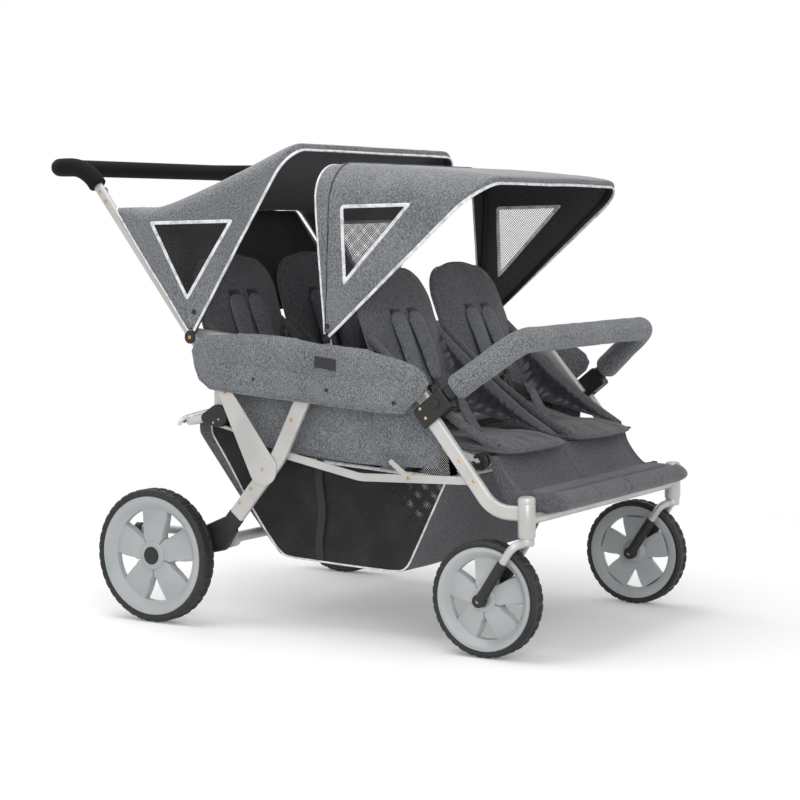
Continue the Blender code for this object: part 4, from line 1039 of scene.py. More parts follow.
# %% Hoop
HOOP_END = (REAR_HINGE[0] + 0.105, REAR_HINGE[1] - 0.020)
HOOP_TUBE_X = 0.3490
HOOP_WAY = heading(REAR_HINGE, HOOP_END)
mesh = bmesh.new()
hoop_start = shifted(REAR_HINGE, HOOP_WAY, 0.026)
route = [P(-HOOP_TUBE_X, *hoop_start), P(-HOOP_TUBE_X, *HOOP_END),
         P(HOOP_TUBE_X, *HOOP_END), P(HOOP_TUBE_X, *hoop_start)]
tube(mesh, rounded(route, 0.042, 14), circle((0, 0), 0.0095, 20))
make("hoop_bar", mesh, SILVER_PAINT, "basket_hoop", ["basket_hoop"])
mesh = bmesh.new()
for side in (1, -1):
    disc = link(REAR_HINGE, shifted(REAR_HINGE, HOOP_WAY, 0.034), 0.0258, 0.0128, 48)
    plate(mesh, disc, side, STAY_IN - 0.012, STAY_OUT, 0.0014)
make("hoop_discs", mesh, BLACK_NYLON, "basket_hoop")
mesh = bmesh.new()
for side in (1, -1):
    for spot in ((0.797, 0.470), (0.812, 0.462)):
        rivet(mesh, spot, side, STAY_OUT - RIVET_SUNK, 0.0036, 0.0004)
make("hoop_rivets", mesh, BRASS, "basket_hoop")


# %% [markdown]
# ## Bumper bar
# A nylon-coated bar plugs into both brackets. Its foam is covered with the same melange as
# the outside of the seats, so it is a soft tube that creases on the inside of both bends.

# %% Bumper


def run_lengths(points):
    """How far along a line each of its points lies."""
    lengths = [0.0]
    for a, b in zip(points, points[1:]):
        lengths.append(lengths[-1] + (b - a).length)
    return lengths


def crease(mesh, depth, size, seed=0.0):
    """Moves each vertex a little along its normal, after a smooth noise."""
    mesh.normal_update()
    for vertex in mesh.verts:
        spot = vertex.co / size + Vector((seed, 0, 0))
        vertex.co += vertex.normal * depth * noise.noise(spot)


neck = Vector((SOCKET_X, *by_bumper(0.072, 0)))
plug_start = Vector((SOCKET_X, *by_bumper(0.0225, 0)))
corner = Vector((RAIL_IN - 0.0245, *shifted(FRONT_PIVOT, BUMPER_DIRECTION, 0.2468)))
BUMPER_BEND = 0.055
mesh = bmesh.new()
half = [plug_start, neck, corner]
route = half + [mirrored(p) for p in reversed(half)]
tube(mesh, [P(*p) for p in rounded(route, BUMPER_BEND, 10)], circle((0, 0), 0.0099, 20))
for side in (1, -1):
    cuff = [neck.lerp(plug_start, 0.16), neck.lerp(corner, 0.08)]
    tube(mesh, [P(side * p.x, p.y, p.z) for p in cuff], circle((0, 0), 0.0165, 28))
make("bumper_core", mesh, BLACK_NYLON, "bumper", ["bumper_bar"])

mesh = bmesh.new()
begin = neck.lerp(corner, 0.05)
path = [P(*p) for p in rounded([begin, corner, mirrored(corner), mirrored(begin)], BUMPER_BEND, 22)]
dense = []
for a, b in zip(path, path[1:]):
    parts = max(1, round((b - a).length / 0.006))
    dense += [a.lerp(b, i / parts) for i in range(parts)]
dense.append(path[-1])
lengths = run_lengths(dense)
scale = [0.80 + 0.20 * math.sqrt(min(1.0, min(s, lengths[-1] - s) / 0.010)) for s in lengths]
tube(mesh, dense, circle((0, 0), 0.0272, 44), scale=scale)
inner_y = P(0, shifted(FRONT_PIVOT, BUMPER_DIRECTION, 0.19)[0], 0).y - 0.01
for vertex in mesh.verts:
    close = max(0.0, 1 - abs(abs(vertex.co.x) - (RAIL_IN - 0.040)) / 0.05)
    if close and vertex.co.y > inner_y:
        vertex.co += Vector((0, -1, 0)) * 0.0016 * close * (1 + math.sin(vertex.co.x * 900))
crease(mesh, 0.0016, 0.05)
BUMPER_COVER = make("bumper_cover", mesh, OUTER_CLOTH, "bumper", ["bumper_foam"], 60)
print("bumper reaches y =", round(corner.y, 3))

# %% [markdown]
# ## How a padded panel is made
# Each pad is two skins sewn together along their border. `quilt` draws both skins on one grid
# between a left and a right edge. The skins meet at the seam, and rise from it to full
# thickness within a margin, the way wadding fills a sewn edge.

# %% The quilt helper


def resample(points, count):
    """A line with equal steps along its length."""
    points = [Vector(p) for p in points]
    lengths = run_lengths(points)
    made, k = [], 0
    for i in range(count + 1):
        want = lengths[-1] * i / count
        while k < len(points) - 2 and lengths[k + 1] < want:
            k += 1
        span = lengths[k + 1] - lengths[k]
        made.append(points[k].lerp(points[k + 1], (want - lengths[k]) / span if span else 0))
    return made


def from_border(spot, border):
    """Distance from a point to a closed outline."""
    best = 9.0
    for a, b in zip(border, border[1:] + border[:1]):
        run = b - a
        share = (spot - a).dot(run) / max(run.length_squared, 1e-12)
        best = min(best, (spot - a - run * min(1, max(0, share))).length)
    return best


def swell(distance, margin):
    """0 at the seam and 1 beyond the margin, with the round shoulder of a stuffed edge."""
    left = 1 - min(1.0, distance / margin)
    return math.sqrt(max(0.0, 1 - left * left))


def quilt(mesh, edge_a, edge_b, place, front, back, margin, count=(44, 18), dent=None):
    """A closed pad; place(a, b, w) puts grid points, front and back are heights over the seam."""
    along, across = count
    first, second = resample(edge_a, along), resample(edge_b, along)
    border = first + list(reversed(second))
    skins = ([], [])
    for i in range(along + 1):
        rows = ([], [])
        for j in range(across + 1):
            share = 0.5 - 0.5 * math.cos(math.pi * j / across)
            spot = first[i].lerp(second[i], share)
            rim = i in (0, along) or j in (0, across)
            rise = 0.0 if rim else swell(from_border(spot, border), margin)
            groove = dent(spot) if dent and not rim else 0.0
            vertex = mesh.verts.new(place(spot[0], spot[1], rise * front - groove))
            rows[0].append(vertex)
            rows[1].append(vertex if rim else mesh.verts.new(place(spot[0], spot[1], -rise * back)))
        skins[0].append(rows[0])
        skins[1].append(rows[1])
    for skin in skins:
        for row, following in zip(skin, skin[1:]):
            for j in range(across):
                corners = [row[j], row[j + 1], following[j + 1], following[j]]
                if all((corners[k].co - corners[k - 1].co).length > 1e-7 for k in range(4)):
                    mesh.faces.new(corners)
                else:
                    kept = [c for k, c in enumerate(corners)
                            if (c.co - corners[k - 1].co).length > 1e-7]
                    if len(kept) == 3:
                        mesh.faces.new(kept)
    bmesh.ops.remove_doubles(mesh, verts=mesh.verts, dist=1e-6)


def channel(spot, line, depth, width):
    """The groove that a row of stitches presses into a pad."""
    nearest = 9.0
    for a, b in zip(line, line[1:]):
        away, run = spot - Vector(a), Vector(b) - Vector(a)
        share = min(1, max(0, away.dot(run) / run.length_squared))
        nearest = min(nearest, (away - run * share).length)
    return depth * math.exp(-(nearest / width) ** 2)


# %% [markdown]
# ## Inflating a pad with cloth simulation
# Wadding pushes both skins outwards and the seams hold them. Blender's Cloth with pressure
# does the same: the pad is remeshed to even cells, the vertices near a seam are pinned, and
# twenty frames are enough. How far a vertex may move is capped, so that the pad keeps to the
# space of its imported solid.

# %% Inflation


PUFF_FRAMES = 20


def final_mesh(piece):
    """A copy of a piece's mesh with its modifiers carried out."""
    graph = bpy.context.evaluated_depsgraph_get()
    return bpy.data.meshes.new_from_object(piece.evaluated_get(graph))


def inflate(shape, pinned, cap):
    """Puffs up a pad; pinned(co) says where a seam holds it. Returns points and faces."""
    data = bpy.data.meshes.new("pad_work")
    shape.to_mesh(data)
    shape.free()
    work = bpy.data.objects.new("pad_work", data)
    bpy.context.collection.objects.link(work)
    remesh = work.modifiers.new("Remesh", "REMESH")
    remesh.mode, remesh.voxel_size = "VOXEL", 0.005
    even = final_mesh(work)
    work.modifiers.clear()
    work.data = even
    start = [v.co.copy() for v in even.vertices]
    group = work.vertex_groups.new(name="seams")
    for vertex in even.vertices:
        group.add([vertex.index], pinned(vertex.co), "REPLACE")
    cloth = work.modifiers.new("Cloth", "CLOTH")
    settings = cloth.settings
    settings.quality = 6
    settings.mass = 0.3
    settings.use_pressure = True
    settings.uniform_pressure_force = 3.0
    settings.vertex_group_mass = "seams"
    settings.effector_weights.gravity = 0
    cloth.point_cache.frame_start, cloth.point_cache.frame_end = 1, PUFF_FRAMES
    scene = bpy.context.scene
    for step in range(1, PUFF_FRAMES + 1):
        scene.frame_set(step)
    puffed = final_mesh(work)
    scene.frame_set(1)
    work.modifiers.clear()
    for vertex, origin in zip(puffed.vertices, start):
        move = vertex.co - origin
        if move.length > cap:
            vertex.co = origin + move * (cap / move.length)
    work.data = puffed
    subdivision = work.modifiers.new("Subdivision", "SUBSURF")
    subdivision.levels = 1
    final = final_mesh(work)
    points = [v.co.copy() for v in final.vertices]
    faces = [tuple(f.vertices) for f in final.polygons]
    bpy.data.objects.remove(work)
    return points, faces


def copy_shape(points, faces, place):
    """A mesh from saved points, each put in its place."""
    mesh = bmesh.new()
    made = [mesh.verts.new(place(p)) for p in points]
    for face in faces:
        mesh.faces.new([made[i] for i in face])
    return mesh


# %% [markdown]
# ## Backrests
# A backrest is a padded board in a sewn cover, with a bound edge and a round top. A stitched
# line runs parallel to the edge. The pad is inflated once and fitted to all four seats: the
# rear ones are a little longer.

# %% Backrest shape
SEAT_X = 0.170
BACK_HALF = 0.159
BACK_LONG = 0.3725
BACK_CORNER = 0.078
BACK_LOW = 0.0128


def back_edge(length, sign):
    """Half of a backrest's outline, from the middle of the bottom to the middle of the top."""
    points = [(0, BACK_LOW), (sign * (BACK_HALF - 0.02), BACK_LOW), (sign * BACK_HALF, BACK_LOW + 0.02),
              (sign * BACK_HALF, length - 0.20)]
    top = length - 0.010
    for i in range(11):
        t = math.pi / 20 * i
        across = BACK_HALF - BACK_CORNER + BACK_CORNER * math.cos(t)
        points.append((sign * across, top - BACK_CORNER + BACK_CORNER * math.sin(t)))
    points += [(sign * 0.040, length - 0.002), (0, length)]
    return points


def inset_line(length, inset):
    """The stitched line that runs inside a backrest's edge."""
    line = []
    for sign in (1, -1):
        side_line = [(p[0] - sign * inset, p[1]) for p in back_edge(length, sign)[2:-2]]
        line += side_line if sign > 0 else list(reversed(side_line))
    return [(x, min(y, length - inset)) for x, y in line]


back_seam = inset_line(BACK_LONG, 0.017)
board = bmesh.new()
quilt(board, back_edge(BACK_LONG, 1), back_edge(BACK_LONG, -1), lambda u, v, w: Vector((u, v, w)),
      0.0135, 0.0095, 0.03, (52, 22), lambda p: channel(p, back_seam, 0.006, 0.005))


def back_pin(co):
    """1 where the edge seam or the stitched line holds the pad."""
    rim = abs(co.z) < 0.0035
    stitched = co.z > 0 and channel(Vector((co.x, co.y)), back_seam, 1.0, 0.0045) > 0.5
    return 1.0 if rim or stitched else 0.0


BACK_POINTS, BACK_FACES = inflate(board, back_pin, 0.006)
print("backrest pad:", len(BACK_POINTS), "points")

# %% [markdown]
# ## Cushions
# A cushion is thinner and flops over the front seat tube. Its nose is a soft lobe and its
# top is a little hollow where a child sits.

# %% Cushion shape
CUSHION_HALF = 0.144
NOSE = 0.034


def cushion_edge(length, sign):
    """Half of a cushion's outline, from the middle of the back to the middle of the nose."""
    points = [(0, 0), (sign * (CUSHION_HALF - 0.006), 0), (sign * CUSHION_HALF, 0.006),
              (sign * CUSHION_HALF, length - NOSE - 0.004)]
    for i in range(1, 10):
        t = math.pi / 2 * i / 10
        points.append((sign * CUSHION_HALF * math.cos(t) ** 0.8, length - NOSE + NOSE * math.sin(t)))
    points.append((0, length))
    return points


BEHIND_HINGE = 0.0145
FRONT_NOSE_Y, REAR_NOSE_Y = 0.064, 0.500
CUSHION_LONG = FRONT_HINGE[0] - BEHIND_HINGE - FRONT_NOSE_Y
slab = bmesh.new()
quilt(slab, cushion_edge(CUSHION_LONG, 1), cushion_edge(CUSHION_LONG, -1),
      lambda u, v, w: Vector((u, v, w)), 0.0125, 0.0135, 0.028, (40, 24),
      lambda p: 0.004 * math.exp(-((p[0] / 0.09) ** 2 + ((p[1] - 0.10) / 0.08) ** 2)))
CUSHION_POINTS, CUSHION_FACES = inflate(slab, lambda co: 1.0 if abs(co.z) < 0.003 else 0.0, 0.005)
print("cushion pad:", len(CUSHION_POINTS), "points")

# %% [markdown]
# ## Thin cloths
# A thin cloth is drawn as one open skin and then given a thickness, because a real edge shows
# that the cloth has two faces. Which way the skin faces is set first: the thickness grows to
# the back of it. Its flat size is what a sewer would cut: half of the finished surface.

# %% Thin cloth helpers


def turn_out(piece, way):
    """Makes most of an open skin face a direction."""
    way = Vector(way)
    if sum(f.normal.dot(way) * f.area for f in piece.data.polygons) < 0:
        piece.data.flip_normals()


def thicken(piece, amount, offset=-1, back_slot_step=0):
    """Gives a skin its thickness; back_slot_step is the step from its material slot to that of its back,
    which on a canopy is painted shade.
    """
    solid = piece.modifiers.new("Solidify", "SOLIDIFY")
    solid.thickness, solid.offset = amount, offset
    solid.material_offset = back_slot_step
    final = final_mesh(piece)
    piece.modifiers.clear()
    piece.data = final


def as_sheet(piece):
    """Works out a two-skinned cloth's flat width and length from half its surface; the result is not kept."""
    area = sum(f.area for f in piece.data.polygons) / 2
    corners = [v.co for v in piece.data.vertices]
    spans = sorted(max(c[k] for c in corners) - min(c[k] for c in corners) for k in range(3))
    width = max(spans[1], 0.02)
    length = max(spans[2], area / width / 0.98)
    if area < 0.32 * width * length:
        width = area / length / 0.5


# %% [markdown]
# ## Four seats
# Each seat has a backrest, a cushion and a five-point harness. Black webbing comes out of
# two slots, runs under two shoulder pads and meets a belt and a crotch strap at the buckle.
# The wings are gathered taffeta between the backrest and the cushion, under a melange edge
# that elastic pulls into folds.

# %% Seats
ROWS = {
    "front": (FRONT_HINGE, FRONT_SEAT_TUBE, FRONT_NOSE_Y, 0.3725, math.radians(69.5)),
    "rear": (REAR_HINGE, REAR_SEAT_TUBE, REAR_NOSE_Y, 0.378, math.radians(73.5)),
}
STRAP_X = 0.037
BUCKLE_V = 0.056
WEB_THICK = 0.0016
CROTCH_LONG = 0.085


def binding(name, rim, radius, body):
    """A thin cord sewn along a pad's edge."""
    mesh = bmesh.new()
    loft(mesh, rings(mesh, smooth_path(rim, 4), circle((0, 0), radius, 8), (0.3, 0.5, 0.8)), ends=())
    make(name, mesh, SEAT_CLOTH, body)


def make_seat(row, side_name):
    """The pads, the harness and the wings of one seat."""
    hinge, tube_spot, nose_y, length, angle = ROWS[row]
    side = SIDES[side_name]
    middle = side * SEAT_X
    seat, back = "seat_frame", f"{row}_back_{side_name}"
    along = Vector((0, math.cos(angle), math.sin(angle)))
    ahead = Vector((0, -math.sin(angle), math.cos(angle)))
    pivot = P(middle, *hinge)

    def on_back(u, v, w):
        return pivot + Vector((u, 0, 0)) + along * v + ahead * w

    stretch = (length - BACK_LOW) / (BACK_LONG - BACK_LOW)

    def stretched(v):
        return BACK_LOW + (v - BACK_LOW) * stretch

    mesh = copy_shape(BACK_POINTS, BACK_FACES, lambda p: on_back(side * p.x, stretched(p.y), p.z + 0.001))
    crease(mesh, 0.0022, 0.045, 3.1 if row == "front" else 7.7)
    made = make(f"{row}_back_pad_{side_name}", mesh, SEAT_CLOTH, back, [f"{row}_backrest_{side_name}"],
                0)
    edge = back_edge(BACK_LONG, 1)[1:] + back_edge(BACK_LONG, -1)[-2:0:-1]
    rim = [on_back(u, stretched(v), 0.001) for u, v in edge]
    binding(f"{row}_back_binding_{side_name}", rim, 0.0026, back)

    top = tube_spot[1] + 0.0125 + 0.0003
    back_y = hinge[0] - BEHIND_HINGE
    reach = (back_y - nose_y) / CUSHION_LONG

    def on_cushion(u, v, w):
        droop = 0.010 * ease((v - 0.62 * CUSHION_LONG) / (0.38 * CUSHION_LONG))
        return P(middle + u, back_y - v * reach, top + 0.0165 + w - droop * (1 if w > -0.006 else 0.35))

    mesh = copy_shape(CUSHION_POINTS, CUSHION_FACES, lambda p: on_cushion(side * p.x, p.y, p.z))
    crease(mesh, 0.0018, 0.035, 1.4 if row == "front" else 5.2)
    made = make(f"{row}_seat_pad_{side_name}", mesh, SEAT_CLOTH, seat, [f"{row}_cushion_{side_name}"],
                0)
    edge = cushion_edge(CUSHION_LONG, 1)[1:] + cushion_edge(CUSHION_LONG, -1)[-2:0:-1]
    binding(f"{row}_seat_binding_{side_name}", [on_cushion(u, v, 0) for u, v in edge], 0.0024, seat)

    # the harness straps, from the slots to the buckle
    face = 0.0150
    slot_v = 0.262 if row == "front" else 0.284
    mesh = bmesh.new()
    for sign in (1, -1):
        strip = []
        for i in range(9):
            t = i / 8
            strip.append(on_back(sign * STRAP_X, slot_v + 0.010 - 0.052 * t,
                                 face - 0.004 + 0.012 * math.sin(math.pi * min(1, t * 1.25)) ** 0.7))
        tube(mesh, strip, rounded_box(0.040, WEB_THICK, 0.0007, 2))
        for strap in (
            ((STRAP_X, 0.100, 0.006), (0.036, 0.080, 0.011), (0.022, 0.066, 0.015), (0.010, 0.058, 0.017)),
            ((0.118, 0.030, 0.0), (0.080, 0.042, 0.007), (0.040, 0.050, 0.013), (0.012, 0.054, 0.016)),
        ):
            path = smooth_path([on_back(sign * u, v, face + w) for u, v, w in strap], 5)
            tube(mesh, path, rounded_box(0.020, WEB_THICK, 0.0007, 2))
    make(f"{row}_webbing_{side_name}", mesh, WEBBING, back, [f"{row}_harness_{side_name}"], 30)

    mesh = bmesh.new()
    for sign in (1, -1):
        hole = [(sign * STRAP_X + a, slot_v + 0.006 + b) for a, b in oval(0.052, 0.011, 24)]
        loft(mesh, [[mesh.verts.new(on_back(u, v, face + w)) for u, v in hole] for w in (-0.006, -0.0004)])
    for outline, levels, ends in (
        (rounded_box(0.036, 0.044, 0.010, 4), ((0.0125, 0.86), (0.0150, 1.0), (0.0235, 1.0), (0.0260, 0.88)),
         (0, -1)),
        (circle((0, 0), 0.0095, 24), ((0.0255, 1.0), (0.0272, 1.0), (0.0280, 0.9)), (-1,)),
    ):
        loft(mesh, [[mesh.verts.new(on_back(u * k, BUCKLE_V + v * k, face + w)) for u, v in outline]
                    for w, k in levels], ends)
    make(f"{row}_buckle_{side_name}", mesh, BLACK_NYLON, back)

    for sign, label in ((1, "outer"), (-1, "inner")):
        mesh = bmesh.new()
        half = 0.0315
        pad_long = slot_v - 0.098

        def on_strap(u, v, w):
            lean = mix(0.042, 0.0375, v / pad_long)
            lift = 0.0045 + 0.006 * math.sin(math.pi * min(1, v / pad_long)) + 0.003 * (1 - v / pad_long)
            lift += 0.004 * (1 - (u / half) ** 2)
            return on_back(side * sign * lean + u, 0.090 + v, face + lift + w)

        ends = [(0, 0), (0.5, 0.002), (0.74, 0.012), (0.84, 0.030), (1, pad_long - 0.050),
                (0.94, pad_long - 0.016), (0.6, pad_long - 0.003), (0, pad_long)]
        quilt(mesh, [(half * a, b) for a, b in ends], [(-half * a, b) for a, b in ends], on_strap, 0.0055,
              0.0035, 0.008, (30, 8))
        crease(mesh, 0.0016, 0.02, 0.7 * sign)
        made = make(f"{row}_shoulder_pad_{label}_{side_name}", mesh, PAD_CLOTH, back,
                    soft_angle=0, subdivide=1)

    # the crotch pad, a short strap that stands up from the cushion
    mesh = bmesh.new()
    root_y, root_z = back_y - 0.105 * reach, top + 0.026

    def on_crotch(u, v, w):
        rise = ease(v / CROTCH_LONG)
        return P(middle + u, root_y + 0.030 * rise + 0.010 * v / CROTCH_LONG - w * (1 - 0.4 * rise),
                 root_z + 0.078 * (v / CROTCH_LONG) ** 1.1 + w * 0.4)

    ends = [(0, 0), (0.8, 0.001), (1, 0.010), (1, 0.062), (0.85, 0.078), (0.5, 0.084), (0, 0.086)]
    quilt(mesh, [(0.021 * a, b) for a, b in ends], [(-0.021 * a, b) for a, b in ends], on_crotch, 0.0055,
          0.004, 0.009, (18, 8))
    made = make(f"{row}_crotch_pad_{side_name}", mesh, PAD_CLOTH, seat, soft_angle=0,
                subdivide=1)

    make_wings(row, side_name, on_back, on_cushion, stretched)


def make_wings(row, side_name, on_back, on_cushion, stretched):
    """The two gathered wings of one seat, with their bound upper edges."""
    for sign, label in ((1, "outer"), (-1, "inner")):
        out = SIDES[side_name] * sign
        start = on_back(out * 0.156, stretched(0.215), 0.008)
        end = on_cushion(out * 0.136, CUSHION_LONG - 0.040, 0.012)
        crest = smooth_path([start, start.lerp(end, 0.3) + Vector((out * 0.004, 0, -0.012)),
                             start.lerp(end, 0.7) + Vector((out * 0.004, 0, -0.014)), end], 10)
        hem_in = -out * 0.030
        root_top = on_back(out * 0.112, stretched(0.205), 0.013)
        root_low = on_back(out * 0.108, stretched(0.030), 0.015)
        root_end = on_cushion(out * 0.112, CUSHION_LONG - 0.050, 0.014)
        root = resample([root_top, root_low, root_low.lerp(root_end, 0.25) - Vector((0, 0, 0.004)),
                         root_end], len(crest) - 1)
        columns = 96
        crest = resample(crest, columns)
        root = resample(root, columns)
        cloth, border = bmesh.new(), bmesh.new()
        sheet_rows, border_rows = [], []
        for i in range(columns + 1):
            t = i / columns
            taper = math.sin(math.pi * t) ** 0.5
            ripple = math.sin(i * 1.9 + 2.0 * math.sin(i * 0.37)) * 0.0021 * taper
            hem = crest[i] + Vector((hem_in * (0.35 + 0.65 * taper), 0, -0.012 * taper - 0.001))
            hem += Vector((0, 0, ripple))
            row_points = []
            for j in range(11):
                s = j / 10
                spot = hem.lerp(root[i], s)
                bulge = 0.016 * math.sin(math.pi * s) * taper
                wander = 3.0 * noise.noise(Vector((i * 0.13, s * 1.5, 2.0 * sign)))
                fold = 0.0052 * math.sin(i * 1.05 + wander)
                fold *= (1 - s) ** 0.7 * taper
                away = Vector((-out * 0.55, -0.35, 0.75))
                row_points.append(cloth.verts.new(spot + away * (fold - bulge * 0.25)
                                                  + Vector((out * bulge * 0.6, 0, 0))))
            sheet_rows.append(row_points)
            lift = Vector((0, 0, 0.0035))
            over = [crest[i] + Vector((out * 0.003, 0, -0.020)), crest[i] + Vector((out * 0.004, 0, -0.004)),
                    crest[i] + lift * 0.6, crest[i].lerp(hem, 0.35) + lift,
                    crest[i].lerp(hem, 0.75) + lift * 0.7, hem + Vector((0, 0, -0.0008))]
            border_rows.append([border.verts.new(p) for p in over])
        open_skin(cloth, sheet_rows)
        open_skin(border, border_rows)
        for mesh, name, look, thick in ((cloth, "wing_gather", TAFFETA, 0.0012),
                                        (border, "wing_edge", SEAT_CLOTH, 0.0030)):
            made = make(f"{row}_{name}_{label}_{side_name}", mesh, look, soft_angle=0)
            thicken(made, thick)
            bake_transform(made)
            as_sheet(made)


for row in ROWS:
    for side_name in SIDES:
        make_seat(row, side_name)


# %% [markdown]
# ## Cloth at the sides
# Between rail and seat hangs a single wall of melange. Its lower edge is hemmed, and near the
# front it passes outside the post that carries the seat tube. Over the rail lies a thin padded
# flap, stitched along its edge and held by snaps.

# %% Side walls
WALL_X = 0.3364


def wall_drift(y, z, t):
    """How far the wall stands out: over the post, at the hem and in its shallow waves."""
    over_post = ease((0.050 - abs(y - 0.350)) / 0.024) * ease((z - 0.404) / 0.028)
    wave = noise.noise(Vector((y * 9, z * 13, 4.4))) * 0.0026 * math.sin(math.pi * min(1, t + 0.12))
    hem = 0.0011 * ease((t - 0.945) / 0.01) - 0.0012 * math.exp(-((t - 0.938) / 0.006) ** 2)
    return over_post * 0.0209 + wave * (1 - over_post) + hem


def make_wall(side_name):
    """One wall of cloth, with more rows towards its hem."""
    side = SIDES[side_name]
    front = resample(((0.340, rail_z(0.340)), (0.270, 0.545), (0.225, 0.470), (0.232, 0.389)), 56)
    rear = resample(((0.790, rail_z(0.790)), (0.770, 0.600), (0.764, 0.512), (0.745, 0.458),
                     (0.695, 0.414)), 56)
    mesh = bmesh.new()
    rows = []
    for i in range(45):
        t = 1 - (1 - i / 44) ** 1.5
        k = min(55, int(t * 56))
        a = front[k].lerp(front[k + 1], t * 56 - k)
        b = rear[k].lerp(rear[k + 1], t * 56 - k)
        row = []
        for j in range(97):
            s = j / 96
            y, z = a.lerp(b, s)
            z -= 0.0125 * math.sin(math.pi * s) * t ** 3
            row.append(mesh.verts.new(P(side * (WALL_X + wall_drift(y, z, t)), y, z)))
        rows.append(row)
    open_skin(mesh, rows)
    made = make(f"side_wall_{side_name}", mesh, OUTER_CLOTH, "seat_frame", [f"side_panel_{side_name}"],
                soft_angle=0)
    turn_out(made, (side, 0, 0))
    thicken(made, 0.0018, 0)
    as_sheet(made)


for side_name in SIDES:
    make_wall(side_name)
print("walls hang from the rail's middle down to z = 0.386")

# %% Padded side flaps
FLAP_SEAM = 0.3872
FLAP_FULL = 0.0118
RAIL_TOP = 0.0150
FLAP_LOW = [(0.227, 0.576), (0.236, 0.556), (0.268, 0.530), (0.290, 0.507), (0.360, 0.507), (0.433, 0.513),
            (0.564, 0.522), (0.698, 0.531), (0.800, 0.540), (0.829, 0.560), (0.842, 0.592), (0.850, 0.627)]
FLAP_HIGH = [(0.227, 0.576), (0.238, 0.596), (0.261, 0.611), (0.294, 0.622), (0.382, 0.641), (0.484, 0.649),
             (0.563, 0.660), (0.650, 0.666), (0.724, 0.668), (0.800, 0.663), (0.838, 0.652), (0.850, 0.627)]
HEM = [(0.250, 0.556), (0.282, 0.527), (0.300, 0.515), (0.360, 0.514), (0.433, 0.520), (0.564, 0.529),
       (0.698, 0.538), (0.796, 0.547), (0.822, 0.565), (0.834, 0.595)]
FOLD = [(0.300, 0.575), (0.400, 0.577), (0.520, 0.590), (0.640, 0.594), (0.760, 0.603)]
OVERLAP = [(0.301, 0.512), (0.306, 0.570), (0.318, 0.625)]


def flap_groove(spot):
    """What the stitches and a slight unevenness take off the flap's face."""
    groove = channel(spot, HEM, 0.0046, 0.0034) + channel(spot, FOLD, 0.0050, 0.0100)
    groove += channel(spot, OVERLAP, 0.0030, 0.0035)
    ripple = noise.noise(Vector((spot[0] * 26, spot[1] * 12, 0.7)))
    fine = noise.noise(Vector((spot[0] * 70, spot[1] * 22, 5.1)))
    return groove + 0.0030 * ripple + 0.0006 * fine


def mix_along(line, y):
    """The height of a side-view line at one y."""
    for (ya, za), (yb, zb) in zip(line, line[1:]):
        if ya <= y <= yb:
            return mix(za, zb, (y - ya) / (yb - ya))
    return line[-1][1]


def make_flap(side_name):
    """One padded flap, the two rolls of cloth that join it to the rail, its snaps and patch."""
    side = SIDES[side_name]
    mesh = bmesh.new()
    quilt(mesh, FLAP_LOW, FLAP_HIGH, lambda a, b, w: P(side * (FLAP_SEAM + w), a, b),
          FLAP_FULL, 0.0020, 0.020, (150, 36), flap_groove)
    made = make(f"side_flap_pad_{side_name}", mesh, OUTER_CLOTH, "seat_frame", [f"side_flap_{side_name}"],
                soft_angle=0)
    for part, (y0, y1) in enumerate(((0.375, 0.470), (0.560, 0.720))):
        roll = bmesh.new()
        rows = []
        for i in range(33):
            y = mix(y0, y1, i / 32)
            crown, rail = mix_along(FLAP_HIGH, y), rail_z(y) + RAIL_TOP
            soft = 0.0012 * noise.noise(Vector((y * 40, part, 2.2)))
            line = smooth_path([(0.3915, crown - 0.010), (0.3875, crown + 0.0015 + soft),
                                (0.379, crown - 0.001 + soft), (0.366, mix(crown, rail, 0.5)),
                                (0.352, rail + 0.0015), (0.3415, rail)], 5)
            rows.append([roll.verts.new(P(side * x, y, z)) for x, z in line])
        open_skin(roll, rows)
        roll = make(f"side_flap_roll_{part}_{side_name}", roll, OUTER_CLOTH, "seat_frame",
                    soft_angle=0)
        turn_out(roll, (0, 0, 1))
        thicken(roll, 0.0016)
        as_sheet(roll)
    snaps = bmesh.new()
    for spot in ((0.673, 0.569), (0.480, 0.552), (0.309, 0.531)):
        rivet(snaps, spot, side, FLAP_SEAM + 0.0108, 0.0058, 0.0026)
    make(f"side_flap_snaps_{side_name}", snaps, BLACK_NYLON, "seat_frame")
    patch = bmesh.new()
    plate(patch, [(0.456, 0.594), (0.511, 0.601), (0.509, 0.626), (0.454, 0.619)], side, FLAP_SEAM + 0.0085,
          FLAP_SEAM + 0.0128, 0.0008)
    make(f"side_flap_patch_{side_name}", patch, WEBBING, "seat_frame")


for side_name in SIDES:
    make_flap(side_name)
print("flaps are", round(FLAP_SEAM + FLAP_FULL, 4), "m out at their fullest")

# %% [markdown]
# ## The basket
# A parcel basket hangs under the seats: grey cloth in front, below and behind, black mesh at
# the sides, white piping along the seams and a webbing strap at each side. Its rear rim is
# sewn to the hoop.

# %% Basket
BASKET_X = 0.2985
BASKET_LINE = [(0.2335, 0.362), (0.262, 0.304), (0.298, 0.230), (0.330, 0.166), (0.346, 0.151),
               (0.380, 0.149), (0.500, 0.1525), (0.630, 0.158), (0.664, 0.162), (0.684, 0.178),
               (0.730, 0.230), (0.781, 0.289), (0.836, 0.358), (0.884, 0.418), (0.8935, 0.434),
               (0.8935, 0.459)]
BASKET_RIM = [(0.2335, 0.362), (0.420, 0.373), (0.600, 0.386), (0.700, 0.410), (0.800, 0.440),
              (0.8935, 0.459)]
REAR_WALL_Y = 0.66
STRAP_Y = 0.560


def sew_basket(piece, wall=0.0):
    """Thickens a cloth of the basket when a wall is given, and bakes its placing into its mesh."""
    if wall:
        thicken(piece, wall, 0)
    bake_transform(piece)


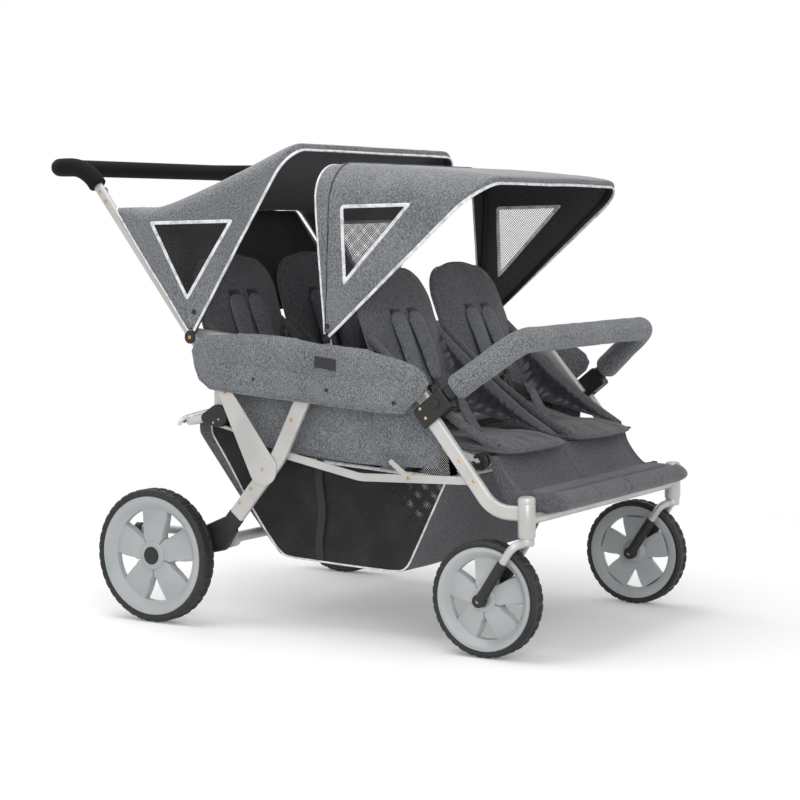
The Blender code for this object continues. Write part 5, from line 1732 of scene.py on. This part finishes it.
def gusset(z):
    """How far the rear wall's cloth turns round onto the side at a height."""
    return 0.004 + 0.030 * ease((z - 0.170) / 0.27)


mesh = bmesh.new()
line = resample(smooth_path(BASKET_LINE, 5), 96)
rows = []
for i, (y, z) in enumerate(line):
    row = []
    for j in range(61):
        x = mix(-BASKET_X, BASKET_X, j / 60)
        slack = max(0.0, 1 - (x / BASKET_X) ** 2)
        low = math.sin(math.pi * i / 96) ** 0.5
        sag = slack * low * (0.007 + 0.004 * noise.noise(Vector((x * 8, y * 8, z * 8))))
        fine = 0.0012 * noise.noise(Vector((x * 30, y * 24, z * 24 + 9))) * slack * low
        row.append(mesh.verts.new(P(x, y + (0.5 - y) * 0.02 * slack * low, z - sag * 0.5 + fine)))
    rows.append(row)
open_skin(mesh, rows)
basket_floor = make("basket_cloth", mesh, SEAT_CLOTH, replaces=["basket"], soft_angle=0)
sew_basket(basket_floor, 0.0016)
as_sheet(basket_floor)
print("basket hangs from z =", BASKET_RIM[-1][1], "at the hoop to", min(z for y, z in BASKET_LINE))

# %% Basket sides, corners, piping and straps
for side_name, side in SIDES.items():
    mesh = bmesh.new()
    low_line = [spot - Vector((gusset(spot[1]) if spot[0] > REAR_WALL_Y else 0.0, 0.0))
                for spot in resample(BASKET_LINE, 72)]
    high_line = resample(BASKET_RIM, 72)
    rows = []
    for i in range(73):
        row = []
        for j in range(23):
            t = j / 22
            y, z = low_line[i].lerp(high_line[i], t)
            room = min(1.0, (high_line[i] - low_line[i]).length / 0.12)
            sag = math.sin(math.pi * t) * room * math.sin(math.pi * i / 72)
            wave = 0.5 + 0.5 * noise.noise(Vector((y * 10, z * 12, side)))
            row.append(mesh.verts.new(P(side * (BASKET_X - sag * 0.011 * wave), y, z)))
        rows.append(row)
    open_skin(mesh, rows)
    bmesh.ops.remove_doubles(mesh, verts=mesh.verts, dist=1e-6)
    side_mesh = make(f"basket_side_{side_name}", mesh, BASKET_MESH, soft_angle=0)
    turn_out(side_mesh, (side, 0, 0))
    sew_basket(side_mesh, 0.0010)
    as_sheet(side_mesh)
    mesh = bmesh.new()
    outer = [spot for spot in resample(BASKET_LINE, 72) if spot[0] > REAR_WALL_Y]
    open_skin(mesh, [[mesh.verts.new(P(side * BASKET_X, mix(y, y - gusset(z), j / 4), z)) for y, z in outer]
                     for j in range(5)])
    corner = make(f"basket_gusset_{side_name}", mesh, SEAT_CLOTH, soft_angle=0)
    turn_out(corner, (side, 0, 0))
    sew_basket(corner, 0.0014)
    as_sheet(corner)
    mesh = bmesh.new()
    seam = [P(side * (BASKET_X + 0.0010), y, z) for y, z in low_line]
    tube(mesh, seam, oval(0.0042, 0.0046, 10))
    seam = [P(side * (BASKET_X + 0.001), y, z + 0.001) for y, z in resample(smooth_path(BASKET_RIM, 5), 60)]
    tube(mesh, seam, oval(0.0044, 0.0085, 14))
    piping = make(f"basket_piping_{side_name}", mesh, PIPING, soft_angle=0)
    sew_basket(piping)
    mesh = bmesh.new()
    strap = [P(side * (BASKET_X + 0.0024), STRAP_Y + 0.004 * math.sin(i * 0.4), mix(0.158, 0.386, i / 24))
             for i in range(25)]
    tube(mesh, strap, rounded_box(0.0018, 0.020, 0.0006, 2))
    tab = [P(side * x, STRAP_Y, z) for x, z in
           ((BASKET_X + 0.002, 0.388), (BASKET_X + 0.020, 0.394), (0.3330, 0.402))]
    tube(mesh, tab, rounded_box(0.0018, 0.014, 0.0006, 2))
    make(f"basket_strap_{side_name}", mesh, WEBBING, "seat_frame")

mesh = bmesh.new()
tube(mesh, [P(mix(-BASKET_X, BASKET_X, i / 30), 0.2325, 0.3625) for i in range(31)], oval(0.0042, 0.0080, 12),
     (0, 1, 0))
make("basket_front_piping", mesh, PIPING, "seat_frame", soft_angle=0)

# %% [markdown]
# ## The basket's rear skirt
# Over the hoop lies a black cloth with a bright rim, sewn to the two round hinges.

# %% Rear skirt
SKIRT = [(0.808, 0.497), (0.840, 0.490), (0.875, 0.481), (0.900, 0.4735), (0.913, 0.467), (0.9175, 0.457)]
SKIRT_X = 0.3450
mesh = bmesh.new()
rows = []
line = resample(smooth_path(SKIRT, 6), 48)
for y, z in line:
    row = []
    for j in range(57):
        x = mix(-SKIRT_X, SKIRT_X, j / 56)
        slack = max(0.0, 1 - (x / SKIRT_X) ** 2)
        hang = 0.026 * slack * ease((0.893 - y) / 0.09)
        wave = 0.003 * noise.noise(Vector((x * 12, y * 14, 6.1))) * slack
        row.append(mesh.verts.new(P(x, y, z - hang + wave)))
    rows.append(row)
open_skin(mesh, rows)
skirt = make("basket_skirt", mesh, DARK_CLOTH_AND_PAINTED_HOOD_SHADE, "basket_hoop", soft_angle=0)
turn_out(skirt, (0, 0, 1))
thicken(skirt, 0.0016)
as_sheet(skirt)
mesh = bmesh.new()
for side in SIDES.values():
    rim = [P(side * (SKIRT_X + 0.0025), y, z - 0.006) for y, z in line]
    tube(mesh, rim, oval(0.0075, 0.0085, 14))
tube(mesh, [P(mix(-SKIRT_X, SKIRT_X, i / 30), 0.9180, 0.4565) for i in range(31)], oval(0.0048, 0.0060, 12),
     (0, 1, 0))
make("basket_skirt_rim", mesh, PIPING, "basket_hoop", soft_angle=0)
print("skirt from y =", round(line[0][0], 3), "to the hoop")

# %% [markdown]
# ## The apron
# In front of the feet a padded cloth comes down from the seat tube and ends in a quilted roll
# of two lobes, with a seam down its middle. Every point of its outline is pulled inwards at
# the seams. In the notch between the lobes, inwards isn't towards the outline's centre.

# %% Footrest apron
APRON_X = 0.3175
APRON_LINE = [(0.1155, 0.4185), (0.1150, 0.3900), (0.080, 0.3215), (0.050, 0.3088), (0.000, 0.3086),
              (-0.044, 0.3090), (-0.0640, 0.3210), (-0.0640, 0.3350), (-0.050, 0.3470), (-0.036, 0.3495),
              (-0.0225, 0.3395), (-0.008, 0.3490), (0.014, 0.3500), (0.034, 0.3465), (0.052, 0.3460),
              (0.076, 0.3690), (0.0960, 0.3985), (0.1040, 0.4200)]
NOTCH_CORNERS = (9, 12)
PER_CORNER = 6
NOTCH = range(NOTCH_CORNERS[0] * PER_CORNER, NOTCH_CORNERS[1] * PER_CORNER)
mesh = bmesh.new()
shape = smooth_outline(APRON_LINE, PER_CORNER)
core = Vector((sum(y for y, z in shape) / len(shape), sum(z for y, z in shape) / len(shape)))
rows = []
columns = 150
for j in range(columns + 1):
    share = 0.5 - 0.5 * math.cos(math.pi * j / columns) if j < 6 or j > columns - 6 else j / columns
    x = mix(-APRON_X, APRON_X, share)
    near_end = min(1.0, (APRON_X - abs(x)) / 0.009)
    inset = 0.0045 * (1 - math.sqrt(max(0.0, 1 - (1 - near_end) ** 2)))
    row = []
    for k, (y, z) in enumerate(shape):
        spot = Vector((y, z))
        before, after = Vector(shape[k - 1]), Vector(shape[(k + 1) % len(shape)])
        inward = Vector((after[1] - before[1], before[0] - after[0])).normalized()
        if inward.dot(core - spot) < 0 and k not in NOTCH:
            inward.negate()
        inward = inward * 0.6 + (core - spot).normalized() * 0.4
        wave = noise.noise(Vector((x * 10, y * 16, z * 16)))
        pull = 0.0030 * math.exp(-(x / 0.0045) ** 2) + inset + 0.0012 * (0.6 + wave)
        pull += 0.0016 * math.exp(-((abs(x) - 0.160) / 0.004) ** 2) * ease((0.06 - y) / 0.02)
        spot += inward * pull
        row.append(mesh.verts.new(P(x, spot[0], spot[1])))
    rows.append(row)
loft(mesh, rows)
apron = make("apron_pad", mesh, SEAT_CLOTH, "seat_frame", ["footrest_apron"], soft_angle=0)
print("apron", round(2 * APRON_X, 3), "m wide")


# %% [markdown]
# ## Canopies
# Each canopy is one sheet of melange over flat nylon bows, with a triangle of mesh at each
# side and reflective tape round its edges. Its inside is painted shade: the same melange drawn
# darker for the shadow under the hood. The sheet is lofted through hoops that fan out from the
# pivot. The triangle is cut along its own three lines, so the mesh and the cloth share one
# edge, and the tape around it follows the same ripples.

# %% Hoops, ripples and windows


def fan(pivot, stations, parts):
    """Hoops (angle, reach, corner) between some given ones, smooth along the crown."""
    crowns = [Vector((*shifted(pivot, a, r), c)) for a, r, c in stations]
    made = []
    for y, z, corner in smooth_path(crowns, parts):
        made.append((heading(pivot, (y, z)), math.dist(pivot, (y, z)), corner))
    return made


def hoop(pivot, station, half_width, tip=0.018):
    """One hoop of cloth: up a side, round the corner, across and down the other side."""
    angle, reach, corner = station
    line = [(half_width, mix(tip, reach - corner, i / 22)) for i in range(22)]
    line += [(half_width - corner + corner * math.cos(t), reach - corner + corner * math.sin(t))
             for t in (math.pi / 24 * i for i in range(13))]
    line += [((half_width - corner) * (1 - i / 14), reach) for i in range(1, 15)]
    line += [(-a, r) for a, r in reversed(line[:-1])]
    return [P(a, *shifted(pivot, angle, r)) for a, r in line]


def ripple(spot, pivot, half_width, seed):
    """The outward drift of a slack cloth: none near the pivot, under 3 mm further out."""
    centre = P(0, *pivot)
    far = ease((math.hypot(spot.y - centre.y, spot.z - centre.z) - 0.09) / 0.12)
    sideways = ease((abs(spot.x) - half_width + 0.085) / 0.08)
    broad = 0.5 + 0.5 * noise.noise(Vector((spot.x * 5, spot.y * 14, spot.z * 14 + seed)))
    fine = noise.noise(Vector((spot.x * 16 + seed, spot.y * 42, spot.z * 30)))
    amount = far * (0.0022 * broad + 0.0006 * fine)
    return Vector((math.copysign(sideways, spot.x), 0, 1 - sideways)) * amount


def cut_window(mesh, triangle, side, half_width):
    """Splits the side cloth along a triangle; the faces inside go to a new mesh."""
    spots = [P(0, *p) for p in triangle]
    middle = (spots[0] + spots[1] + spots[2]) / 3
    size = max((p - middle).length for p in spots) + 0.03

    def nearby():
        faces = []
        for face in mesh.faces:
            c = face.calc_center_median()
            if c.x * side > half_width - 0.003 and math.hypot(c.y - middle.y, c.z - middle.z) < size:
                faces.append(face)
        return faces

    normals = []
    for a, b in zip(spots, spots[1:] + spots[:1]):
        normal = Vector((0, (b - a).z, -(b - a).y)).normalized()
        if normal.dot(middle - a) < 0:
            normal.negate()
        normals.append(normal)
        faces = nearby()
        geom = list({v for f in faces for v in f.verts} | {e for f in faces for e in f.edges} | set(faces))
        bmesh.ops.bisect_plane(mesh, geom=geom, plane_co=a, plane_no=normal, dist=1e-6)
    inside = [f for f in nearby()
              if all(n.dot(f.calc_center_median() - a) > 0 for n, a in zip(normals, spots))]
    window = bmesh.new()
    copies = {}
    for face in inside:
        for vertex in face.verts:
            if vertex not in copies:
                copies[vertex] = window.verts.new(vertex.co)
        window.faces.new([copies[v] for v in face.verts])
    bmesh.ops.delete(mesh, geom=inside, context="FACES")
    return window


def ring_line(triangle, grow, radius):
    """A triangle grown outwards from its incircle, with round corners and points between."""
    a, b, c = (Vector(p) for p in triangle)
    la, lb, lc = (b - c).length, (c - a).length, (a - b).length
    centre = (a * la + b * lb + c * lc) / (la + lb + lc)
    height = abs((b - a).cross(c - a)) / (la + lb + lc)
    grown = [centre + (p - centre) * (1 + grow / height) for p in (a, b, c)]
    soft = soft_corners(grown, radius, 5)
    line = []
    for k in range(3):
        line += soft[6 * k:6 * k + 6]
        start, end = Vector(soft[6 * k + 5]), Vector(soft[(6 * k + 6) % 18])
        line += [tuple(start.lerp(end, i / 12)) for i in range(1, 12)]
    return line


def tape_round(mesh, triangle, side, half_width, width, drift):
    """The bound edge of a window, showing on both faces of the cloth."""
    inner, outer = ring_line(triangle, 0, 0.003), ring_line(triangle, width, 0.011)
    mid = ring_line(triangle, width / 2, 0.007)
    levels = [(inner, -0.0020), (inner, 0.0002), (mid, 0.0012), (outer, 0.0001), (outer, -0.0020),
              (mid, -0.0031)]
    rows = []
    for line, lift in levels:
        row = []
        for y, z in line:
            spot = P(side * (half_width + lift), y, z)
            row.append(mesh.verts.new(spot + drift(P(side * half_width, y, z))))
        rows.append(row)
    loft(mesh, rows + rows[:1], ends=())


def edge_tape(mesh, line, across, wide, thick, drift, wave=0.0):
    """Tape folded over an edge of the cloth; wave makes the edge wander."""
    path = []
    for spot in line:
        wander = wave * noise.noise(Vector((spot.x * 18, spot.y * 18, spot.z * 18)))
        path.append(spot + drift(spot) + across * wander)
    tube(mesh, path, oval(wide, thick, 14), across)


def crown_up(piece):
    """Makes a canopy's cloth face outwards, which is upwards within 6 cm of its crown."""
    crown = max(f.center.z for f in piece.data.polygons) - 0.06
    if sum(f.normal.z * f.area for f in piece.data.polygons if f.center.z > crown) < 0:
        piece.data.flip_normals()


def bow_strip(name, pivot, bow, x, body, node, corner=0.085):
    """A flat nylon bow bent into a hoop."""
    angle, reach = bow
    back, top = shifted(pivot, angle, -0.006), shifted(pivot, angle, reach)
    route = [P(x, *back), P(x, *top), P(-x, *top), P(-x, *back)]
    mesh = bmesh.new()
    tube(mesh, rounded(route, corner, 14), rounded_box(0.0028, 0.0118, 0.0008, 2))
    make(name, mesh, BLACK_NYLON, body, [node])


def zone(pivot, first, last, reach):
    """The ends of a chord across the middle of the span between two hoops, at a reach from the pivot."""
    middle = (first + last) / 2
    centre = shifted(pivot, middle, reach)
    half = reach * math.sin((last - first) / 2)
    start = shifted(centre, middle - math.pi / 2, half)
    end = shifted(centre, middle + math.pi / 2, half)
    return P(0, *start), P(0, *end)


print("canopy helpers ready")

# %% [markdown]
# ## The front canopy
# Its rear bow stands straight up and its front bow leans forward over the footrest. The
# cloth is drawn through hoops that fan out from the pivot, over both bows.

# %% Front canopy
HOOD_TAPE = 0.0078
FRONT_REAR_BOW = (math.radians(93.4), 0.385)
FRONT_FRONT_BOW = (math.radians(137.5), 0.514)
bow_strip("front_canopy_back_strip", CANOPY_PIVOT, FRONT_REAR_BOW, 0.3455, "front_canopy",
          "front_canopy_rear_bow")
bow_strip("front_canopy_nose_strip", CANOPY_PIVOT, FRONT_FRONT_BOW, 0.3515, "front_canopy_bow",
          "front_canopy_front_bow")


def make_hood(name, pivot, stations, parts, half_width, windows, nodes, seed):
    """A canopy cloth, its inside painted darker as shade, with its windows and tapes; returns it and the
    drift of its ripples.
    """

    def drift(spot):
        return ripple(spot, pivot, half_width, seed)

    sheet = bmesh.new()
    open_skin(sheet, [[sheet.verts.new(p) for p in hoop(pivot, station, half_width)]
                      for station in fan(pivot, stations, parts)])
    extras = []
    for triangle in windows:
        for side_name, side in SIDES.items():
            window = cut_window(sheet, triangle, side, half_width)
            for vertex in window.verts:
                vertex.co += drift(vertex.co) - Vector((side * 0.0008, 0, 0))
            made = make(f"{name}_window_{side_name}", window, WINDOW_MESH, soft_angle=0)
            turn_out(made, (side, 0, 0))
            thicken(made, 0.0004)
            extras.append(made)
            tape = bmesh.new()
            tape_round(tape, triangle, side, half_width, HOOD_TAPE, drift)
            extras.append(make(f"{name}_window_tape_{side_name}", tape, PIPING))
    for vertex in sheet.verts:
        vertex.co += drift(vertex.co)
    # The back of the cloth takes the second material: painted shade, the outer melange drawn darker inside
    # the hood.
    cloth = make(f"{name}_cloth", sheet, [OUTER_CLOTH, DARK_CLOTH_AND_PAINTED_HOOD_SHADE], None, nodes, 0)
    crown_up(cloth)
    thicken(cloth, 0.0018, back_slot_step=1)
    for piece in [cloth] + extras:
        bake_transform(piece)
    as_sheet(cloth)
    return cloth, drift


def hoop_tape(name, pivot, station, half_width, drift, body, wide, wave=0.0, nudge=0.0):
    """Tape along one hoop; nudge moves it along the cloth."""
    angle, reach, corner = station
    line = hoop(pivot, (angle + nudge / reach, reach, corner), half_width - 0.0008, 0.014)
    mesh = bmesh.new()
    across = Vector((0, -math.sin(angle), math.cos(angle)))
    edge_tape(mesh, line, across, wide, 0.0042, drift, wave)
    make(name, mesh, PIPING, body, soft_angle=50)


def over_bow(bow, corner):
    """The two hoops where the cloth lies over a bow, one at each side of it."""
    angle, reach = bow
    return [(angle + turn, reach + OVER_BOW, corner) for turn in (-BOW_SPREAD, BOW_SPREAD)]


FRONT_HOOD_X = 0.3555
OVER_BOW = 0.004
BOW_SPREAD = math.radians(1.3)
front_stations = [
    (math.radians(86), 0.385, 0.085), *over_bow(FRONT_REAR_BOW, 0.089),
    (math.radians(117), 0.424, 0.085), *over_bow(FRONT_FRONT_BOW, 0.089),
]
FRONT_WINDOW = [(0.461, 0.946), (0.306, 0.949), (0.456, 0.795)]
FRONT_ZONE = zone(CANOPY_PIVOT, FRONT_REAR_BOW[0], FRONT_FRONT_BOW[0], 0.15)
cloth, front_drift = make_hood(
    "front_canopy", CANOPY_PIVOT, front_stations, 7, FRONT_HOOD_X,
    [FRONT_WINDOW], ["front_canopy_cover"],
    3.0)
hoop_tape("front_canopy_nose_tape", CANOPY_PIVOT, front_stations[-1], FRONT_HOOD_X, front_drift,
          "front_canopy_bow", 0.0072, 0.0006, 0.002)
hoop_tape("front_canopy_back_tape", CANOPY_PIVOT, front_stations[0], FRONT_HOOD_X, front_drift,
          "front_canopy", 0.0052, 0.0010, -0.002)
print("front canopy cloth:", len(cloth.data.polygons), "faces")

# %% [markdown]
# ## The rear canopy
# It hangs between its own bow and the handle tubes. It is drawn as a narrow strip at the back
# and the large sheet with the windows. The seam between them is where the real cloth is hemmed.

# %% Rear canopy
REAR_BOW = (math.radians(121.3), 0.490)
bow_strip("rear_canopy_strip", HANDLE_PIVOT, REAR_BOW, PLATE_IN + 0.0015, "rear_canopy_bow",
          "rear_canopy_bow", 0.064)
REAR_HOOD_X = 0.383
CURTAIN_ANGLE = math.radians(53.5)
rear_stations = [
    (CURTAIN_ANGLE, 0.361, 0.020), (math.radians(72.1), 0.309, 0.035),
    (math.radians(106.8), 0.387, 0.055), *over_bow(REAR_BOW, 0.068),
]
REAR_WINDOW = [(0.957, 0.911), (0.749, 0.915), (0.865, 0.752)]
swept = fan(HANDLE_PIVOT, rear_stations, 9)
SEAM = 3
REAR_ZONE = zone(HANDLE_PIVOT, swept[SEAM][0], REAR_BOW[0], 0.17)
cloth, rear_drift = make_hood(
    "rear_canopy", HANDLE_PIVOT, swept[SEAM:], 1, REAR_HOOD_X,
    [REAR_WINDOW], ["rear_canopy_cover"], 8.0)
make_hood(
    "rear_canopy_hem", HANDLE_PIVOT, swept[:SEAM + 1], 1, REAR_HOOD_X,
    [], (), 8.0)
hoop_tape("rear_canopy_nose_tape", HANDLE_PIVOT, rear_stations[-1], REAR_HOOD_X, rear_drift,
          "rear_canopy_bow", 0.0066, 0.0006, 0.002)
hoop_tape("rear_canopy_back_tape", HANDLE_PIVOT, rear_stations[0], REAR_HOOD_X, rear_drift,
          "handle", 0.0048, 0.0024, -0.001)
print("rear canopy cloth:", len(cloth.data.polygons), "faces")

# %% [markdown]
# ## The back curtain
# Between the handle tubes a lined curtain closes the hood behind the rear seats. It is sewn
# into the canopy's rear edge and hangs slack, with a few long folds.

# %% Back curtain
CURTAIN_X = 0.357
CURTAIN_TOP, CURTAIN_END = 0.356, 0.078
mesh = bmesh.new()
grid = []
for i in range(25):
    reach = mix(CURTAIN_TOP, CURTAIN_END, i / 24)
    row_points = []
    for j in range(61):
        x = mix(-CURTAIN_X, CURTAIN_X, j / 60)
        slack = ease((CURTAIN_X - abs(x)) / 0.055)
        fold = noise.noise(Vector((x * 7, reach * 4, 3.3)))
        fold += 0.5 * noise.noise(Vector((x * 22, reach * 6, 1.1)))
        depth = slack * (0.012 * math.sin(math.pi * i / 24) ** 0.6 + 0.038 * ease(i / 18) + 0.005 * fold)
        bottom = 0.010 * ease(i / 24) * math.cos(x * 30)
        spot = shifted(HANDLE_PIVOT, CURTAIN_ANGLE, reach - bottom * 0.3)
        spot = shifted(spot, CURTAIN_ANGLE - math.pi / 2, depth)
        row_points.append(mesh.verts.new(P(x, *spot)))
    grid.append(row_points)
open_skin(mesh, grid)
curtain = make("rear_curtain", mesh, DARK_CLOTH_AND_PAINTED_HOOD_SHADE, "handle", soft_angle=0)
thicken(curtain, 0.0016)
top = P(0, *shifted(HANDLE_PIVOT, CURTAIN_ANGLE, CURTAIN_TOP))
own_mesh(curtain)
as_sheet(curtain)
print("curtain from the crown down to z =", round(shifted(HANDLE_PIVOT, CURTAIN_ANGLE, CURTAIN_END)[1], 3))

# %% [markdown]
# ## Canopy fittings
# The rear canopy ends at its pivot in a round nylon fitting with a brass rivet, and on each
# canopy a press stud holds the tip of the cloth.

# %% Fittings and studs
for side_name, side in SIDES.items():
    spot = shifted(HANDLE_PIVOT, REAR_BOW[0], -0.004)
    mesh = bmesh.new()
    turned(mesh, [(0, 0), (0, 0.0150), (0.0016, 0.0150), (0.0024, 0.0138), (0.0024, 0)],
           (side * (PLATE_OUT + 0.0014), *spot), side, 32)
    make(f"rear_canopy_fitting_{side_name}", mesh, BLACK_NYLON, "rear_canopy_bow")
    mesh = bmesh.new()
    rivet(mesh, spot, side, PLATE_OUT + 0.0037, 0.0042, 0.0018)
    make(f"rear_canopy_rivet_{side_name}", mesh, BRASS, "rear_canopy_bow")
    for name, spot, x, body, blended in (
        ("front_canopy_stud", shifted(CANOPY_PIVOT, math.radians(103), 0.032), FRONT_HOOD_X, "front_canopy",
         FRONT_ZONE),
        ("rear_canopy_stud", shifted(HANDLE_PIVOT, math.radians(100), 0.055), REAR_HOOD_X, "rear_canopy",
         REAR_ZONE),
    ):
        mesh = bmesh.new()
        turned(mesh, [(-0.001, 0), (-0.001, 0.0062), (0.0008, 0.0062), (0.0014, 0.0052), (0.0010, 0.0036),
                      (0.0012, 0)], (side * x, *spot), side, 24)
        stud = make(f"{name}_{side_name}", mesh, BLACK_NYLON)
        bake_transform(stud)


# %% [markdown]
# ## Camera
# The camera's place was found by fitting the photograph's wheel centres, tube ends and
# hinges to the same points of the model. It stands low and far away, with a long lens.

# %% Camera
CAMERA_PLACE = (-4.2342, -2.0172, 0.9144)
FOCAL_PIXELS, PICTURE_PIXELS = 2108.8, 800
yaw, pitch, roll = math.radians(31.052), math.radians(4.802), math.radians(-0.09)
forward = Vector((math.cos(yaw) * math.cos(pitch), math.sin(yaw) * math.cos(pitch), -math.sin(pitch)))
level = Vector((math.sin(yaw), -math.cos(yaw), 0))
upward = level.cross(forward)
right = level * math.cos(roll) + upward * math.sin(roll)
upward = upward * math.cos(roll) - level * math.sin(roll)
lens = bpy.data.cameras.new("camera")
lens.sensor_width = 36
lens.lens = FOCAL_PIXELS / PICTURE_PIXELS * lens.sensor_width
lens.clip_end = 60
camera = bpy.data.objects.new("camera", lens)
bpy.context.collection.objects.link(camera)
camera.matrix_world = Matrix((
    (right.x, upward.x, -forward.x, 0),
    (right.y, upward.y, -forward.y, 0),
    (right.z, upward.z, -forward.z, 0),
    (0, 0, 0, 1),
))
camera.matrix_world.translation = P(*CAMERA_PLACE)
bpy.context.scene.camera = camera
print("lens", round(lens.lens, 1), "mm, camera at", [round(v, 3) for v in camera.matrix_world.translation])

# %% [markdown]
# ## Floor and light
# The backdrop is white to the camera and to mirrors, and gives less light to the rest. The
# floor is a pale matt disc that adds a little light of its own towards the camera and fades
# to plain white from one metre outwards, so that it has no visible edge while the shadow
# under the wheels stays. Three broad lamps light the object at about its own colours: one
# from above, one from the front left and a weak one from behind.

# %% Floor, world and lamps
floor_data = bpy.data.meshes.new("floor")
floor_mesh = bmesh.new()
bmesh.ops.create_circle(floor_mesh, cap_ends=True, segments=96, radius=14)
floor_mesh.to_mesh(floor_data)
floor_mesh.free()
floor = bpy.data.objects.new("floor", floor_data)
bpy.context.collection.objects.link(floor)
floor.location = (0, 0, -0.0005)
FLOOR, tree, shader = surface("matt_studio_floor", "#f4f4f4", 0.95)
shader.inputs["Specular IOR Level"].default_value = 0.0
path = add(tree, "ShaderNodeLightPath").outputs
seen = add(tree, "ShaderNodeMath", {0: path["Is Camera Ray"], 1: path["Is Glossy Ray"]}, operation="MAXIMUM")
glow = add(tree, "ShaderNodeEmission", {"Color": (1, 1, 1, 1), "Strength": 0.16})
near = add(tree, "ShaderNodeAddShader", {0: shader.outputs["BSDF"], 1: glow.outputs["Emission"]})
white = add(tree, "ShaderNodeEmission", {"Color": (1, 1, 1, 1), "Strength": 1.0})
place = object_place(tree)
away = add(tree, "ShaderNodeVectorMath", {0: place}, operation="LENGTH")
fade = add(tree, "ShaderNodeMapRange", {"Value": away.outputs["Value"], "From Min": 1.0, "From Max": 2.4},
           interpolation_type="SMOOTHSTEP")
shade = add(tree, "ShaderNodeMixShader", {0: fade.outputs["Result"], 1: near.outputs["Shader"],
                                          2: white.outputs["Emission"]})
both = add(tree, "ShaderNodeMixShader", {0: seen.outputs["Value"], 1: shader.outputs["BSDF"],
                                         2: shade.outputs["Shader"]})
tree.links.new(both.outputs["Shader"], tree.nodes["Material Output"].inputs["Surface"])
floor_data.materials.append(FLOOR)
floor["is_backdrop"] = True

world = bpy.data.worlds.new("studio")
bpy.context.scene.world = world
world.use_nodes = True
tree = world.node_tree
backdrop = tree.nodes["Background"]
path = add(tree, "ShaderNodeLightPath").outputs
seen = add(tree, "ShaderNodeMath", {0: path["Is Camera Ray"], 1: path["Is Transmission Ray"]},
           operation="MAXIMUM")
seen = add(tree, "ShaderNodeMath", {0: seen.outputs["Value"], 1: path["Is Glossy Ray"]},
           operation="MAXIMUM")
level = add(tree, "ShaderNodeMix", {"Factor": seen.outputs["Value"], "A": 0.58, "B": 1.0})
tree.links.new(level.outputs["Result"], backdrop.inputs["Strength"])
backdrop.inputs["Color"].default_value = (1, 1, 1, 1)


def lamp(name, spot, target, size, power):
    """A round soft lamp of a size in metres and a power in watts, aimed at a place."""
    data = bpy.data.lights.new(name, "AREA")
    data.shape, data.size, data.energy = "DISK", size, power
    made = bpy.data.objects.new(name, data)
    bpy.context.collection.objects.link(made)
    made.location = spot
    made.rotation_euler = (Vector(target) - Vector(spot)).to_track_quat("-Z", "Y").to_euler()


lamp("top_softbox", (-0.4, 0.5, 3.6), (0, 0, 0.5), 2.6, 62)
lamp("front_softbox", (-3.0, -2.6, 2.0), (0, 0, 0.5), 2.2, 46)
lamp("back_softbox", (1.6, 3.4, 2.4), (0, 0, 0.7), 2.0, 22)

# %% [markdown]
# ## The nodes that stay
# Every imported node should now be replaced by a dressed piece. This cell says which aren't.

# %% Last look
left_over = [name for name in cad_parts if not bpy.data.objects[name].hide_render]
print("packed nodes still showing:", left_over)
bpy.context.scene.view_settings.view_transform = "Standard"
low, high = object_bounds()
size, cad_size = ([round(v, 3) for v in span] for span in (high - low, cad_high - cad_low))
print("size", size, "against the model's", cad_size)
